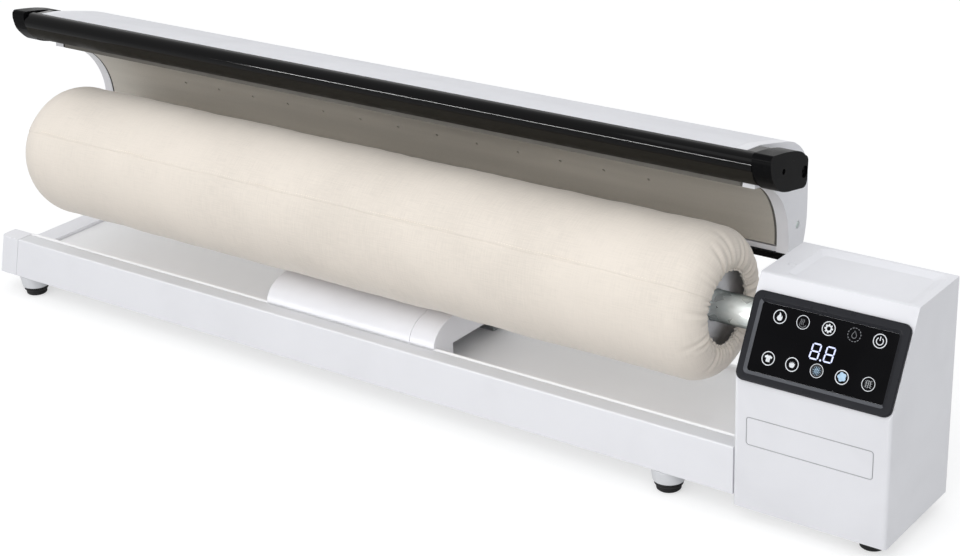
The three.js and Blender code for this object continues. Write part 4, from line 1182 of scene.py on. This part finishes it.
def make_shoe():
    front = raised((GUARD_SEAM, 8.6), (GUARD_SEAM, 33.6), (-6.9, 36), (-7.5, 36.6), (-7.5, 37.7),
                   (-6.6, 38.5))
    line = front + casing_line() + [(PLATE_R + 1, SHOE_FLOOR + 4.6)]
    inner = [(GUARD_SEAM + WALL, PLATE_R + 8.6), (GUARD_SEAM + WALL, 102.7)] \
        + offset_line(smooth_line(CASING), -WALL)[3:-3] \
        + [(93, SHOE_FLOOR + WALL), (PLATE_R + 1 + WALL, SHOE_FLOOR + WALL),
           (PLATE_R + 1 + WALL, SHOE_FLOOR + 4.6)]
    stand_in(shoe_prism(line + inner[::-1], SHOE_LEFT, SHOE_RIGHT), "shoe_cover", SHOE_WHITE)
    make_side_cover("side_cover_left", SHOE_LEFT - FIT, -1)
    make_side_cover("side_cover_right", SHOE_RIGHT + FIT, 1)
    make_plate()
    seal = 1.7
    for name, x0, rubber in (("plate_seal_left", SHOE_LEFT, RUBBER),
                             ("plate_seal_right", SHOE_RIGHT - seal, SEAL)):
        stand_in(shoe_prism(plate_section(PLATE_R + 0.2, PLATE_BACK_R, 60), x0, x0 + seal),
                 name, rubber)
    rounded("lower_trim", 0.8, slot="black_plastic")
    for node in ("side_screw_left", "side_screw_right", "lift_sector"):
        rounded(node, 0.3)


def make_guard():
    """The bar with its dark underside, and the two end pieces that it turns on."""
    left, right = span("guard_end_left")[0], span("guard_end_right")[1]
    end_width = 17.7
    bar_left, bar_right = left + end_width + FIT, right - end_width - FIT
    back, lip = GUARD_SEAM - 2, LIP[1][0] - 2
    outline = [(back, GUARD_SPLIT)] \
        + raised((back, 30), (lip, 32), (lip, 38.8), (lip - 0.6, 39.4)) \
        + arc(-12.6, PLATE_R + 30.2, 9.2, 95, 180, 26) \
        + [(-21.6, PLATE_R + 27.6), (-20.6, GUARD_SPLIT)]
    bm = shoe_prism(outline, bar_left, bar_right)
    block = raised((back, 29.9), (back, 36), (lip - 1, 39), (lip - 1, 31.9))
    past_side = FIT + SIDE + 0.6
    shoe_prism(block, bar_left, SHOE_LEFT - past_side, bm)
    shoe_prism(block, SHOE_RIGHT + past_side, bar_right, bm)
    stand_in(bm, "guard_bar", GLOSS_BLACK)

    under = GUARD_SPLIT - FIT
    outline = smooth_line([(-20.2, under), (-17.6, under - 7), (-11.5, under - 13.4),
                           (-4, under - 17.2), (3, under - 18.7), (back - 1.2, under - 16.4)]) \
        + [(back, under - 15), (back, under)]
    stand_in(shoe_prism(outline, bar_left, bar_right), "guard_underside", DARK_TRIM)

    # The end pieces: a tight corner above a nearly flat front, then round below and behind.
    front = arc(-17.2, PLATE_R + 36.9, 4.6, 80, 180, 20) + smooth_line(
        raised((-21.8, 36.6), (-22.0, 34), (-21.6, 31.6), (-20.6, 26.6), (-19, 22)), 5)[1:]
    belly = smooth_line(raised((-19, 22), (-14.6, 16), (-5.3, 7.4), (6.8, 3), (16, 1.2),
                               (35, -2.4)), 5)
    heel = arc(36.6, PLATE_R + 19, 6.6, 0, 70, 6)
    roof = smooth_line(heel[-1:] + raised((30, 31.2), (15.2, 35.9), (0, 39)) + front[:1], 5)
    outline = front[:-1] + belly + arc(36.2, PLATE_R + 3.4, 5.8, 285, 360, 8) \
        + heel[:-1] + roof[:-1]
    for name, x0, outer in (("guard_end_left", left, left),
                            ("guard_end_right", right - end_width, right)):
        bm = shoe_prism(outline, x0, x0 + end_width)
        round_edges(bm, 1.5, 4, 60, at_x(outer))
        drill(stand_in(bm, name, END_BLACK), [
            (on_shoe(x0 + end_width / 2, *PIVOT), (1, 0, 0), 5.3, 40),
            (on_shoe(outer, 0.5, PLATE_R + 22.6), (1, 0, 0), 2.6, 6)], 40)


# ---- the hidden works keep their CAD solids
def dress_the_rest():
    for name, node in frame["nodes"].items():
        if node.hide_render:
            continue
        for place in node.material_slots:
            place.material = MATERIALS[SLOT_OF_NODE[name]]


make_base()
make_lift()
make_controls()
make_roller()
make_shoe()
make_guard()
dress_the_rest()
